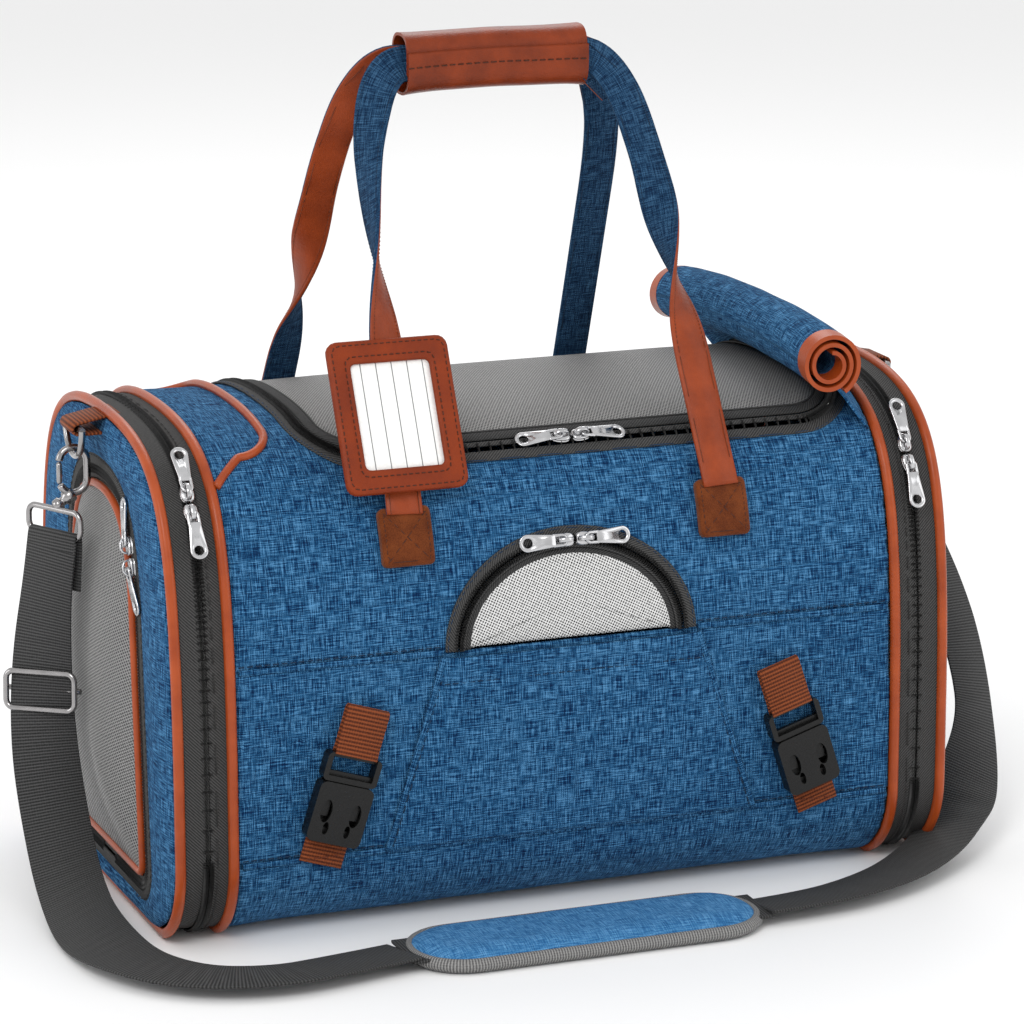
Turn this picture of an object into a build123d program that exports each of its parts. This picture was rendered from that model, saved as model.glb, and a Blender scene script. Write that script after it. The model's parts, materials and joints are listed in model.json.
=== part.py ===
from build123d import *
import math
import os

# A soft-sided pet carrier bag standing on its base. Origin: middle of the base, on the floor.
# +X runs along the bag, -Y is the front with the pocket, +Z is up. Millimetres.

# driving dimensions of the bag
LENGTH = 457.0              # between the outer pipings
WIDTH = 266.0               # front to back
HEIGHT = 280.0              # floor to crown
SPRING = 80.0               # height where the sides begin to lean in
SQUARENESS = 0.85           # how square the arch of the cross-section is
FOOT_RADIUS = 50.0          # lower corners of the cross-section
CANVAS = 4.0                # padded canvas wall
RING = 30.0                 # zip band between an end's two pipings
PIPING = 6.0                # piping diameter
TAPE = 2.5                  # zip tape and folded edge
END_LIFT = 1.0              # the end panels clear the floor by this much
GAP = 0.6                   # clearance between parts that move apart

# openings and doors
TOP_X = (-138.0, 188.0)     # top door along the bag
TOP_Y = 94.0                # half its width
TOP_CORNER = 34.0
ZIP_EDGE = 6.0              # how far inside the zip's line a door's own edge lies
WINDOW_HALF = 68.0          # front window, zip line
WINDOW_RISE = 56.0
WINDOW_SILL = 157.0
DOOR_FOOT_HALF = 76.0       # end door, zip line at its foot
DOOR_HALF = 66.0            # and where its arch begins
DOOR_SILL = 20.0
DOOR_SPRING = 172.0
DOOR_TOP = 243.0
MESH = 3.0                  # bound mesh panel
ACCENT = (158.0, 95.0, 30.0)    # accent piping: |X| of its long side, half its width, corner

# trim on the front
POCKET_TOP = 154.0
POCKET_FOOT = 48.0
POCKET_HALF = (76.0, 110.0)     # half-width at the mouth and at the foot
POCKET_DEPTH = 9.0
BUCKLE_TOP = (122.0, 132.0)     # middle of the webbing's upper fold: X, Z
BUCKLE_FOOT = (149.0, 48.0)     # and of its sewn end
WEBBING = 25.0
BUCKLE = (32.0, 50.0, 9.0)      # width, length, thickness
SOCKET_START = 11.0             # along the webbing from the seam
SOCKET_SHARE = 0.68             # of the buckle's length
PLUG_BAR = 14.7                 # outer bar of the plug's frame, from the frame's start
WEBBING_TOP = 88.0              # along the webbing to the folded loop's end

# handles, tag and rolled flap
PATCH = 30.0
PATCH_X = 94.0
PATCH_TOP = 236.0
HANDLE_FOOT = (118.0, 237.8)    # |Y| and Z where a handle leaves its patch
HANDLE_RISE = 252.0             # along the handle, foot to the middle of the grip
HANDLE_LEAN = 26.2
STRAP = 3.0
GRIP_HALF = 53.0
GRIP = (28.0, 36.0)             # depth and height
GRIP_FRONT = -16.2
TAG = (70.0, 86.0, 4.0)
ROLL_RADIUS = 20.0
ROLL_X = 164.0
ROLL_HALF = 107.0

# shoulder strap and its fittings
RING_BAR_X = 246.0
RING_BAR_Z = 271.0
HOOK_X = 247.0
HOOK_LOOP_Z = 245.5             # middle of the hook's loop
HOOK_LOOP = (8.0, 13.0)         # its half-width and half-height, to the wire's middle
HOOK_WIRE = 2.2
GATE = 12.2
CORD = 10.0                 # the strap's stand-in tube
EYE_Z = 208.0
PAD = (208.4, 66.0, 12.0)
LEFT_ROUTE = [
    (-252.0, 4.0, 205.0), (-258.0, 5.0, 172.0), (-266.0, 4.0, 130.0), (-267.0, 0.0, 88.0),
    (-266.0, -12.0, 48.0), (-268.0, -36.0, 16.0), (-269.0, -78.0, 6.0), (-258.0, -124.0, 6.5),
    (-231.0, -160.0, 6.0), (-190.0, -180.0, 6.5), (-152.0, -184.0, 6.0), (-118.0, -183.0, 6.5),
]
RIGHT_ROUTE = [
    (252.0, 4.0, 205.0), (259.0, -8.0, 176.0), (268.0, -34.0, 140.0), (276.0, -54.0, 98.0),
    (280.0, -68.0, 56.0), (273.0, -86.0, 20.0), (247.0, -116.0, 6.0), (205.0, -150.0, 6.5),
    (165.0, -171.0, 6.0), (128.0, -181.0, 6.5), (92.0, -184.0, 6.0),
]
ADJUSTER_AT = (-266.5, 2.5, 122.0)

# zip sliders and pull tabs
SLIDER = (11.0, 8.6, 3.0)   # along the zip, across it, height
SLIDER_FLOAT = 0.4
BRIDGE_HOLE = 2.6
TAB = (27.0, 10.0, 1.4)
TAB_LOOP = 7.0
TAB_DROOP = 6.0
MEETING = 6.2               # from where two sliders meet to the middle of each

RING_IN = LENGTH / 2 - RING             # inner piping, from the middle
COIL_X = LENGTH / 2 - RING * 0.53       # middle of the expansion zip's coil
COIL_HALF = 4.4
SHELL_HALF = RING_IN - PIPING / 2
BOARD = (2 * SHELL_HALF - 16, WIDTH - 2 * FOOT_RADIUS, 3.0)


# a box that starts at the origin along X and lies on the XY plane; and one that only lies on it
LYING = (Align.MIN, Align.CENTER, Align.MIN)
STANDING = (Align.CENTER, Align.CENTER, Align.MIN)


# ---------- the cross-section ----------

def bezier(handles, t):
    """A point of a cubic curve in the plane."""
    weights = [(1 - t) ** 3, 3 * t * (1 - t) ** 2, 3 * t * t * (1 - t), t ** 3]
    return tuple(sum(w * p[i] for w, p in zip(weights, handles)) for i in (0, 1))


def arch_handles(inset=0.0):
    """The cross-section's arch, from where the side begins to lean in to the crown, as |Y| and Z."""
    half, top = WIDTH / 2 - inset, HEIGHT - inset
    shoulder = SPRING + SQUARENESS * (top - SPRING)
    return [(half, SPRING), (half, shoulder), (SQUARENESS * half, top), (0.0, top)]


def arch_frame(value, coordinate, inset=0.0):
    """The arch's point with that |Y| (coordinate 0) or Z (1), its upward tangent and its outward normal."""
    handles, low, high = arch_handles(inset), 0.0, 1.0
    for _ in range(40):
        t = (low + high) / 2
        beyond = bezier(handles, t)[coordinate] > value
        if beyond == (coordinate == 0):
            low = t
        else:
            high = t
    point, ahead = bezier(handles, t), bezier(handles, t + 0.001)
    step = math.dist(point, ahead)
    tangent = ((ahead[0] - point[0]) / step, (ahead[1] - point[1]) / step)
    return point, tangent, (tangent[1], -tangent[0])


def section(inset=0.0, lift=0.0):
    """The bag's cross-section, its X for Y and its Y for Z. A negative inset grows all but its foot."""
    half, low = WIDTH / 2 - inset, max(inset, 0.0) + lift
    foot = FOOT_RADIUS - max(inset, 0.0)
    right = Curve() + [
        Line((0, low), (half - foot, low)),
        CenterArc((half - foot, low + foot), foot, -90, 90),
        Line((half, low + foot), (half, SPRING)),
        Bezier(*arch_handles(inset)),
    ]
    return make_face(right + mirror(right, Plane.YZ))


def slab(face, x, thickness):
    """A face drawn in Y and Z, extruded from x along +X."""
    return extrude(Plane.YZ.offset(x) * face, thickness)


def hoop(x, width, outer, inner, lift=0.0):
    """A band that follows the cross-section, between two insets."""
    return slab(section(outer, lift), x, width) - slab(section(inner, lift), x - 1, width + 2)


def spanning(half, side):
    """The start of a slab that lies between |x| of half[0] and half[1] on that side."""
    return half[0] if side > 0 else -half[1]


# ---------- door and window outlines ----------

def window_face(shrink=0.0):
    """The front window's outline, drawn in X and Z."""
    half, rise = WINDOW_HALF - shrink, WINDOW_RISE - shrink
    return Pos(0, WINDOW_SILL) * (Ellipse(half, rise) & Pos(0, rise) * Rectangle(4 * half, 2 * rise))


def door_handles(shrink=0.0):
    """The arch over an end door, as |Y| and Z."""
    half, top = DOOR_HALF - shrink, DOOR_TOP - shrink
    shoulder = DOOR_SPRING + 0.75 * (top - DOOR_SPRING)
    return [(half, DOOR_SPRING), (half - 2, shoulder), (0.66 * half, top), (0.0, top)]


def door_face(shrink=0.0, sill=0.0):
    """An end door's outline, drawn in Y and Z: a tapering arch."""
    foot, low = DOOR_FOOT_HALF - shrink, DOOR_SILL + sill
    right = Curve() + [
        Line((0, low), (foot, low)),
        Line((foot, low), (DOOR_HALF - shrink, DOOR_SPRING)),
        Bezier(*door_handles(shrink)),
    ]
    return make_face(right + mirror(right, Plane.YZ))


def top_face(shrink=0.0):
    """The top door's outline in plan, its back edge straight."""
    low, high = TOP_X[0] + shrink, TOP_X[1] - shrink
    half = TOP_Y - shrink
    plate = Pos((low + high) / 2, 0) * RectangleRounded(high - low, 2 * half, TOP_CORNER)
    back = Pos((low + high) / 2, half - TOP_CORNER / 2) * Rectangle(high - low, TOP_CORNER)
    return plate + back


def upwards(face):
    """Everything over a face drawn in plan, above the middle of the bag."""
    return extrude(Pos(0, 0, 0.7 * HEIGHT) * face, HEIGHT)


def forwards(face):
    """Everything in front of a face drawn in X and Z, before the bag's middle."""
    return extrude(Plane.XZ.offset(WIDTH / 4) * face, WIDTH)


# ---------- the body ----------

def body_shell():
    shell = hoop(-SHELL_HALF, 2 * SHELL_HALF, 0.0, CANVAS)
    return shell - upwards(top_face()) - forwards(window_face())


def door_skin(outer, thickness, cutter):
    """A door panel that follows the shell, cut from a band by the volume over its outline."""
    return hoop(-SHELL_HALF, 2 * SHELL_HALF, outer, outer + thickness) & cutter


def zip_tapes():
    """The fixed half of each zip: two bands at the ends, one round the top door, one round the window."""
    inner, outer = RING_IN + PIPING / 2, COIL_X + COIL_HALF
    bands = [hoop(spanning((inner, outer), s), outer - inner, 0.5, 0.5 + TAPE) for s in (-1, 1)]
    around_top = upwards(top_face(0.3)) - upwards(top_face(ZIP_EDGE - GAP))
    around_window = forwards(window_face(0.3)) - forwards(window_face(ZIP_EDGE - GAP))
    rims = [door_skin(0.5, TAPE, cutter) for cutter in (around_top, around_window)]
    return bands + rims


def accent_piping():
    """The U of piping on the left shoulder, open towards the end."""
    across, half, corner = ACCENT
    band = PIPING / 2

    def outline(grow):
        return RectangleRounded(2 * (SHELL_HALF - across + grow), 2 * (half + grow), corner + grow)

    loop = Pos(-SHELL_HALF, 0) * (outline(band) - outline(-band))
    return hoop(-SHELL_HALF, SHELL_HALF, -band, 0.0) & upwards(loop)


def body_piping():
    """The two inner pipings, and the accent piping."""
    starts = [spanning((SHELL_HALF, SHELL_HALF + PIPING), side) for side in (-1, 1)]
    return [hoop(x, PIPING, -PIPING / 2, CANVAS) for x in starts] + [accent_piping()]


def front_pocket():
    """A flat patch pocket on the front, open along its top edge."""
    mouth, foot = POCKET_HALF

    def outline(seam, rise):
        low, high = POCKET_FOOT + seam, POCKET_TOP + rise
        corners = [(seam - foot, low), (foot - seam, low), (mouth - seam, high), (seam - mouth, high)]
        return make_face(Polyline(*corners, close=True))

    shell = hoop(-foot, 2 * foot, -POCKET_DEPTH, 0.0) & forwards(outline(0, 0))
    return shell - (hoop(-foot, 2 * foot, 1.5 - POCKET_DEPTH, -0.5) & forwards(outline(4, 1)))


def handle_patches():
    """Four square patches that hold the handles' feet, on the arch."""
    outline = Pos(0, PATCH_TOP - PATCH / 2) * RectangleRounded(PATCH, PATCH, 3)
    band = hoop(-PATCH_X - PATCH, 2 * PATCH_X + 2 * PATCH, -3.0, 0.0)
    front = [band & forwards(Pos(side * PATCH_X, 0) * outline) for side in (-1, 1)]
    return front + [mirror(p, Plane.XZ) for p in front]


def base_board():
    """The stiff board that keeps the base flat."""
    board = Pos(0, 0, CANVAS) * Box(*BOARD, align=STANDING)
    return fillet(board.edges().filter_by(Axis.Z), 12)


def bed_pad():
    """The soft pad that the animal lies on, over the board."""
    pad = Pos(0, 0, CANVAS + BOARD[2]) * Box(BOARD[0], BOARD[1] + 24, 10, align=STANDING)
    return fillet(pad.edges().filter_by(Axis.Z), 25)


def wire_hoops():
    """Spring-wire hoops that hold the arch open, just inside the shell's ends."""
    starts = [spanning((SHELL_HALF - 5, SHELL_HALF - 2), side) for side in (-1, 1)]
    return [hoop(x, 3.0, CANVAS + 0.1, CANVAS + 3.1) for x in starts]


def privacy_flap():
    """The roll-down cover, rolled up across the crown over the right end of the top door."""
    end_z = arch_frame(ROLL_HALF - 8, 0)[0][1] + ROLL_RADIUS + 6
    middle_z = HEIGHT + ROLL_RADIUS + 3
    path = ThreePointArc((ROLL_X, -ROLL_HALF, end_z), (ROLL_X, 0, middle_z), (ROLL_X, ROLL_HALF, end_z))
    ring = Plane(path @ 0, z_dir=path % 0) * Circle(ROLL_RADIUS)
    return sweep(ring, path)


# ---------- buckles ----------

def buckle_plane(side):
    """On the front, its X along the webbing from the seam upwards, its Z out of the bag."""
    foot = Vector(side * BUCKLE_FOOT[0], 0, BUCKLE_FOOT[1])
    top = Vector(side * BUCKLE_TOP[0], 0, BUCKLE_TOP[1])
    surface = -WIDTH / 2 - 0.3
    return Plane(Vector(foot.X, surface, foot.Z), x_dir=top - foot, z_dir=(0, -1, 0))


def anchor_strap(side):
    """The short webbing from the seam to the socket."""
    start = -3.0
    strip = Box(SOCKET_START - start, WEBBING, STRAP, align=LYING)
    return buckle_plane(side) * Pos(start, 0, 0) * strip


def buckle_socket(side):
    """The female half, cut out to show the plug's arms."""
    width, length, thick = BUCKLE
    long = length * SOCKET_SHARE
    block = Box(long, width, thick, align=LYING)
    block = fillet(block.edges().filter_by(Axis.Z), 4)
    block -= Pos(8, 0, 2.2) * Box(long, width - 7, thick - 4.4, align=LYING)
    for s in (-1, 1):
        block -= Pos(long * 0.52, s * width * 0.27, thick - 3) * extrude(Ellipse(6.5, 3.2), 6)
        block -= Pos(long * 0.24, s * width * 0.2, thick - 3) * extrude(Ellipse(3.6, 1.7), 6)
    return buckle_plane(side) * Pos(SOCKET_START, 0, 0.3) * block


def plug_start():
    """How far along the webbing the plug's frame begins."""
    return SOCKET_START + BUCKLE[1] * SOCKET_SHARE + 0.4


def buckle_plug(side):
    """The male half: two sprung arms in the socket and a frame with bars for the webbing."""
    width, _, thick = BUCKLE
    frame = Box(16, width, thick - 1, align=LYING)
    frame = fillet(frame.edges().filter_by(Axis.Z), 3)
    frame -= Pos(3, 0, -1) * Box(20, width - 6, thick + 2, align=LYING)
    bars = [Pos(x, 0, 4.0) * Box(2.6, width - 5, 2.6) for x in (4.2, PLUG_BAR)]
    arms = [Pos(-20, s * (width / 2 - 7.2), 3.2) * Box(21, 5, 3, align=LYING) for s in (-1, 1)]
    guide = Pos(-16, 0, 3.2) * Box(17, 5, 3, align=LYING)
    return buckle_plane(side) * Pos(plug_start(), 0, 0.3) * (frame + bars + arms + [guide])


def plug_loop(side):
    """The webbing folded round the plug's outer bar: a bight and two layers sewn together."""
    bight, reach = 8.0, WEBBING_TOP - plug_start() - PLUG_BAR
    fold = Box(2 * bight, WEBBING, 7.4)
    fold = fillet(fold.edges().filter_by(Axis.Y), 3)
    fold -= Box(2 * bight - STRAP, WEBBING + 2, 4.2)
    tail = Pos(bight - 2, 0, -STRAP / 2) * Box(reach - bight + 2, WEBBING, STRAP, align=LYING)
    return buckle_plane(side) * Pos(plug_start() + PLUG_BAR + 4, 0, 4.3) * (fold + tail)


# ---------- doors ----------

def top_door():
    return door_skin(0.5, MESH, upwards(top_face(ZIP_EDGE)))


def window_flap():
    above_sill = Pos(0, WINDOW_SILL + 1 + WINDOW_RISE) * Rectangle(4 * WINDOW_HALF, 2 * WINDOW_RISE)
    return door_skin(0.5, MESH, forwards(window_face(ZIP_EDGE) & above_sill))


def end_door(side):
    x = LENGTH / 2 - 1
    return slab(door_face(ZIP_EDGE, GAP + 1), spanning((x, x + MESH), side), MESH)


# ---------- the two ends ----------

def end_panel(side):
    x = LENGTH / 2 - 2.5
    plate = slab(section(PIPING * 0.7, END_LIFT), spanning((x, x + CANVAS), side), CANVAS)
    return plate - slab(door_face(), spanning((x - 5, x + 10), side), 15)


def end_piping(side):
    x = LENGTH / 2 - 3.0
    return hoop(spanning((x, x + PIPING), side), PIPING, -2.0, PIPING * 0.7, END_LIFT)


def end_tapes(side):
    """The moving half of the expansion zip, and the zip round the end door."""
    x = COIL_X + COIL_HALF + GAP
    band = hoop(spanning((x, LENGTH / 2 - 3), side), LENGTH / 2 - 3 - x, 0.5, 0.5 + TAPE, END_LIFT)
    at = LENGTH / 2 - 1.8
    rim = door_face(0.1, 0.1) - door_face(ZIP_EDGE - GAP, -GAP)
    return [band, slab(rim, spanning((at, at + TAPE), side), TAPE)]


def gusset(side):
    """The folded mesh tunnel that an end pulls out with it."""
    x = RING_IN + PIPING / 2 + 1
    return hoop(spanning((x, LENGTH / 2 - 4), side), LENGTH / 2 - 4 - x, CANVAS + 3, CANVAS + 5, END_LIFT)


def ring_tab(side):
    """The webbing tab that holds the ring, over the end's crown."""
    reach = RING_BAR_X + 4 - (LENGTH / 2 + 3.1)
    tab = Pos(LENGTH / 2 + 3.1 + reach / 2, 0, RING_BAR_Z) * Box(reach, WEBBING, 7)
    tab -= Pos(RING_BAR_X, 0, RING_BAR_Z) * Rot(90, 0, 0) * Cylinder(2.2, WEBBING + 2)
    return tab if side > 0 else mirror(tab, Plane.YZ)


def d_ring(side):
    """A wire D: a straight bar through the tab and a half circle below it."""
    wire, half = 1.9, 17.0
    bar = Pos(RING_BAR_X, 0, RING_BAR_Z) * Rot(90, 0, 0) * Cylinder(wire, 2 * half)
    ring = Rot(0, 90, 0) * Torus(half, wire)
    bow = ring & Pos(0, 0, -2 * half) * Box(6, 4 * half, 4 * half)
    ring = bar + Pos(RING_BAR_X, 0, RING_BAR_Z) * bow
    return ring if side > 0 else mirror(ring, Plane.YZ)


def gate_place():
    """Middle of the hook's gate."""
    return Pos(HOOK_X + HOOK_LOOP[0], 0, HOOK_LOOP_Z - 1)


def snap_hook(side):
    """A swivel snap hook: a wire loop through the ring, a knuckle, and the eye that the strap goes round."""
    half, rise = HOOK_LOOP
    racetrack = Plane.XZ * SlotOverall(2 * (rise + HOOK_WIRE), 2 * (half + HOOK_WIRE), rotation=90)
    hole = Plane.XZ * SlotOverall(2 * (rise - HOOK_WIRE), 2 * (half - HOOK_WIRE), rotation=90)
    loop = Pos(HOOK_X, 0, HOOK_LOOP_Z) * extrude(racetrack - hole, 2.0, both=True)
    loop -= gate_place() * Box(2 * HOOK_WIRE + 2, 6, GATE + 1.8)
    knuckle = Pos(HOOK_X, 0, HOOK_LOOP_Z - rise - HOOK_WIRE - 3.4) * Cylinder(4.2, 7)
    eye = Plane.YZ * (Rectangle(WEBBING + 20, 17) - Rectangle(WEBBING + 14, 11))
    eye = Pos(HOOK_X, 0, EYE_Z + 8.6) * extrude(eye, 1.8, both=True)
    hook = loop + knuckle + eye
    return hook if side > 0 else mirror(hook, Plane.YZ)


def hook_gate(side):
    """The sprung gate that closes the hook's loop."""
    gate = gate_place() * Box(2.6, 3.4, GATE)
    return gate if side > 0 else mirror(gate, Plane.YZ)


# ---------- handles and tag ----------

def handle_plane(side):
    """In a handle's own plane: X along the bag, Y up the handle. side is -1 at the front."""
    lean = math.radians(HANDLE_LEAN)
    feet = (0, side * HANDLE_FOOT[0], HANDLE_FOOT[1])
    return Plane(feet, x_dir=(1, 0, 0), z_dir=(0, -math.cos(lean), -side * math.sin(lean)))


def handle_strap(side):
    """The flat strap: two legs that draw together into the grip."""
    foot, knee, top, half = PATCH_X, PATCH_X - 8, HANDLE_RISE, 11.0
    bend = 0.62 * top
    runs = [
        Line((foot, 0), (knee, bend)),
        Bezier((knee, bend), (knee - 3, 0.85 * top), (GRIP_HALF + 20, top), (GRIP_HALF, top)),
        Line((GRIP_HALF, top), (0, top)),
    ]
    flat = Sketch() + [trace(run, 2 * half) for run in runs]
    flat += [Pos(knee, bend) * Circle(half), Pos(GRIP_HALF, top) * Circle(half)]
    flat += mirror(flat, Plane.YZ)
    return extrude(handle_plane(side) * flat, STRAP / 2, both=True)


def grip_wrap():
    """The grip cover, a channel on the front handle that the back handle's strap lies in."""
    depth, height = GRIP
    middle = HANDLE_FOOT[1] + HANDLE_RISE * math.cos(math.radians(HANDLE_LEAN))
    behind = (Align.CENTER, Align.MIN, Align.CENTER)
    block = Pos(0, GRIP_FRONT, middle) * Box(2 * GRIP_HALF, depth - 4, height, align=behind)
    block = fillet(block.edges().filter_by(Axis.X).group_by(Axis.Y)[0], 9)
    block -= Pos(0, GRIP_FRONT + 2.8, middle) * Box(3 * GRIP_HALF, depth, height - 7, align=behind)
    return block - Pos(0, 4.5, middle + height / 2) * Box(3 * GRIP_HALF, depth, 12, align=behind)


def tag_loop():
    """The leather keeper round the front-left leg that the tag hangs from."""
    ring = Box(31, 9, 9.4) - Box(26, 12, 4.2)
    return handle_plane(-1) * Pos(-PATCH_X + 3, 86, 0) * ring


def tag_place():
    """Middle of the tag, lying on the front-left leg."""
    return handle_plane(-1) * Pos(-PATCH_X + 2, 50, 5.1)


def tag_holder():
    """The tag's leather frame, a pocket for the card with a window in front."""
    width, height, thick = TAG
    body = extrude(RectangleRounded(width, height, 5), thick)
    body -= Pos(0, -2, 1.4) * extrude(Rectangle(width - 16, height - 16), thick - 2.6)
    body -= Pos(0, -2, 1.4) * extrude(Rectangle(width - 22, height - 24), thick)
    return tag_place() * body


def tag_card():
    """The card in the tag."""
    width, height, _ = TAG
    return tag_place() * Pos(0, -2, 1.5) * extrude(Rectangle(width - 17, height - 17), 0.8)


# ---------- zip sliders ----------

def slider(frame):
    """A slider's body and the bridge that its pull tab hangs from."""
    along, across, height = SLIDER
    body = Pos(0, 0, SLIDER_FLOAT) * Box(along, across, height, align=STANDING)
    body = fillet(body.edges().filter_by(Axis.Z), 2.5)
    bridge = Box(8, 2.4, BRIDGE_HOLE + 1.4, align=STANDING) - Box(5, 4, BRIDGE_HOLE, align=STANDING)
    bridge = Pos(0, 0, SLIDER_FLOAT + height) * bridge
    return frame * (body + bridge)


def pivot_height():
    return SLIDER_FLOAT + SLIDER[2] + BRIDGE_HOLE / 2 + 0.1


def pull_tab(frame):
    """A pull tab: a small loop round the bridge and a plate with a hole."""
    long, wide, thick = TAB
    plate = Pos((TAB_LOOP + long) / 2, 0) * RectangleRounded(long - TAB_LOOP, wide, 3)
    plate -= Pos(long - 5, 0) * Circle(2.8)
    sides = Pos(TAB_LOOP / 2, 0) * (Rectangle(TAB_LOOP + 1.4, 7.6) - Rectangle(TAB_LOOP - 1.4, 4.6))
    tab = extrude(plate + sides, thick / 2, both=True)
    return frame * Pos(0, 0, pivot_height()) * Rot(0, TAB_DROOP, 0) * tab


def shoulder_frame(x, z, side, up):
    """On an end band's outside at height z: X along the band, upwards or downwards."""
    (y, _), tangent, normal = arch_frame(z, 1, 0.5)
    along = (0, up * side * tangent[0], up * tangent[1])
    return Plane((x, side * y, z), x_dir=along, z_dir=(0, side * normal[0], normal[1]))


def pull_frames():
    """Where each slider sits: name, body that carries it, frame. Sliders meet in pairs, nose to nose."""
    found = []

    def meet(name, carrier, base):
        for word, way in (("a", 1), ("b", -1)):
            frame = Plane(base.origin + base.x_dir * way * MEETING, x_dir=base.x_dir * way, z_dir=base.z_dir)
            found.append((f"{name}_{word}", carrier, frame))

    meet("left_expander", "body", shoulder_frame(-COIL_X, 247.0, -1, 1))
    meet("right_expander", "body", shoulder_frame(COIL_X, 240.0, -1, 1))
    (y, z), _, normal = arch_frame(TOP_Y - 2.6, 0)
    meet("top_door", "body", Plane((14, -y, z), x_dir=(-1, 0, 0), z_dir=(0, -normal[0], normal[1])))
    (y, z), _, normal = arch_frame(WINDOW_SILL + WINDOW_RISE - 1, 1)
    meet("window", "body", Plane((4, -y, z), x_dir=(-1, 0, 0), z_dir=(0, -normal[0], normal[1])))
    for side, word in ((-1, "left"), (1, "right")):
        (y, z), (next_y, next_z) = bezier(door_handles(), 0.28), bezier(door_handles(), 0.30)
        along = (0, y - next_y, next_z - z)
        base = Plane((side * (LENGTH / 2 + 1.6), -y, z), x_dir=along, z_dir=(side, 0, 0))
        meet(f"{word}_door", f"{word}_end", base)
    return found


# ---------- shoulder strap ----------

def strap_run(route, name):
    """The stand-in for a free run of the strap: a tube of straight runs joined by arcs."""
    points = [Vector(*p) for p in route]
    runs = [(b - a).length for a, b in zip(points, points[1:])]
    radii = []
    for i in range(1, len(points) - 1):
        turn = (points[i] - points[i - 1]).get_angle(points[i + 1] - points[i])
        radii.append(0.45 * min(runs[i - 1], runs[i]) / math.tan(math.radians(turn / 2)))
    print(name, "radii", [round(r) for r in radii])
    path = FilletPolyline(*points, radius=radii)
    tube = sweep(Plane(path @ 0, z_dir=path % 0) * Circle(CORD / 2), path)
    section_area = math.pi * CORD ** 2 / 4
    print(name, "length", round(path.length, 1), "volume over section", round(tube.volume / section_area, 1))
    return tube


def shoulder_pad():
    length, width, thick = PAD
    middle = (LEFT_ROUTE[-1][0] + RIGHT_ROUTE[-1][0]) / 2
    return Pos(middle, LEFT_ROUTE[-1][1], 0.2) * extrude(RectangleRounded(length, width, 30), thick)


def adjuster():
    """The three-bar slide that sets the strap's length."""
    frame = Box(46, 4, 22) - Pos(0, 0, 5) * Box(39, 6, 6) - Pos(0, 0, -5) * Box(39, 6, 6)
    return Pos(*ADJUSTER_AT) * frame


# ---------- the sub-parts ----------

def nodes():
    frames = pull_frames()
    made = {
        "body_shell": body_shell(),
        "base_board": base_board(),
        "bed_pad": bed_pad(),
        "front_pocket": front_pocket(),
        "body_piping": body_piping(),
        "zip_tapes": zip_tapes(),
        "handle_patches": handle_patches(),
        "wire_hoops": wire_hoops(),
        "privacy_flap": privacy_flap(),
        "buckle_sockets": [buckle_socket(s) for s in (-1, 1)],
        "buckle_anchor_straps": [anchor_strap(s) for s in (-1, 1)],
        "body_sliders": [slider(f) for _, carrier, f in frames if carrier == "body"],
        "top_door": top_door(),
        "window_flap": window_flap(),
        "front_handle": handle_strap(-1),
        "back_handle": handle_strap(1),
        "grip_wrap": grip_wrap(),
        "tag_keeper": tag_loop(),
        "tag_holder": tag_holder(),
        "tag_card": tag_card(),
        "strap_left_run": strap_run(LEFT_ROUTE, "strap_left_run"),
        "strap_right_run": strap_run(RIGHT_ROUTE, "strap_right_run"),
        "shoulder_pad": shoulder_pad(),
        "strap_adjuster": adjuster(),
    }
    for side, word in ((-1, "left"), (1, "right")):
        made |= {
            f"{word}_end_panel": end_panel(side),
            f"{word}_end_piping": end_piping(side),
            f"{word}_end_zip_tapes": end_tapes(side),
            f"{word}_gusset": gusset(side),
            f"{word}_ring_tab": ring_tab(side),
            f"{word}_d_ring": d_ring(side),
            f"{word}_hook": snap_hook(side),
            f"{word}_hook_gate": hook_gate(side),
            f"{word}_door": end_door(side),
            f"{word}_door_sliders": [slider(f) for _, carrier, f in frames if carrier == f"{word}_end"],
            f"{word}_buckle_plug": buckle_plug(side),
            f"{word}_buckle_loop": plug_loop(side),
        }
    for name, _, frame in frames:
        made[f"{name}_tab"] = pull_tab(frame)
    return made


def pivots():
    """Each hinge and slide: a point on its axis, and the axis."""
    found = {}
    for name, _, frame in pull_frames():
        found[f"{name}_tab"] = (frame.origin + frame.z_dir * pivot_height(), frame.x_dir.cross(frame.z_dir))
    lid_edge = TOP_Y - ZIP_EDGE
    found["top_door"] = ((0, lid_edge, arch_frame(lid_edge, 0, 0.5 + MESH)[0][1]), (1, 0, 0))
    sill = WINDOW_SILL + 1
    found["window_flap"] = ((0, -arch_frame(sill, 1, 0.5)[0][0], sill), (1, 0, 0))
    found["tag"] = ((tag_place() * Pos(0, TAG[1] / 2)).position, (-1, 0, 0))
    for side, word in ((-1, "left"), (1, "right")):
        found[f"{word}_end"] = ((side * LENGTH / 2, 0, HEIGHT / 2), (side, 0, 0))
        found[f"{word}_door"] = ((side * (LENGTH / 2 - 1), 0, DOOR_SILL + GAP + 1), (0, -side, 0))
        found[f"{word}_buckle"] = (buckle_plane(side).origin, buckle_plane(side).x_dir)
        gate = gate_place().position
        found[f"{word}_gate"] = ((side * gate.X, 0, gate.Z - GATE / 2 + 0.8), (0, -side, 0))
    for side, word in ((-1, "front"), (1, "back")):
        found[f"{word}_handle"] = ((0, side * HANDLE_FOOT[0], HANDLE_FOOT[1]), (-side, 0, 0))
    return found


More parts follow.
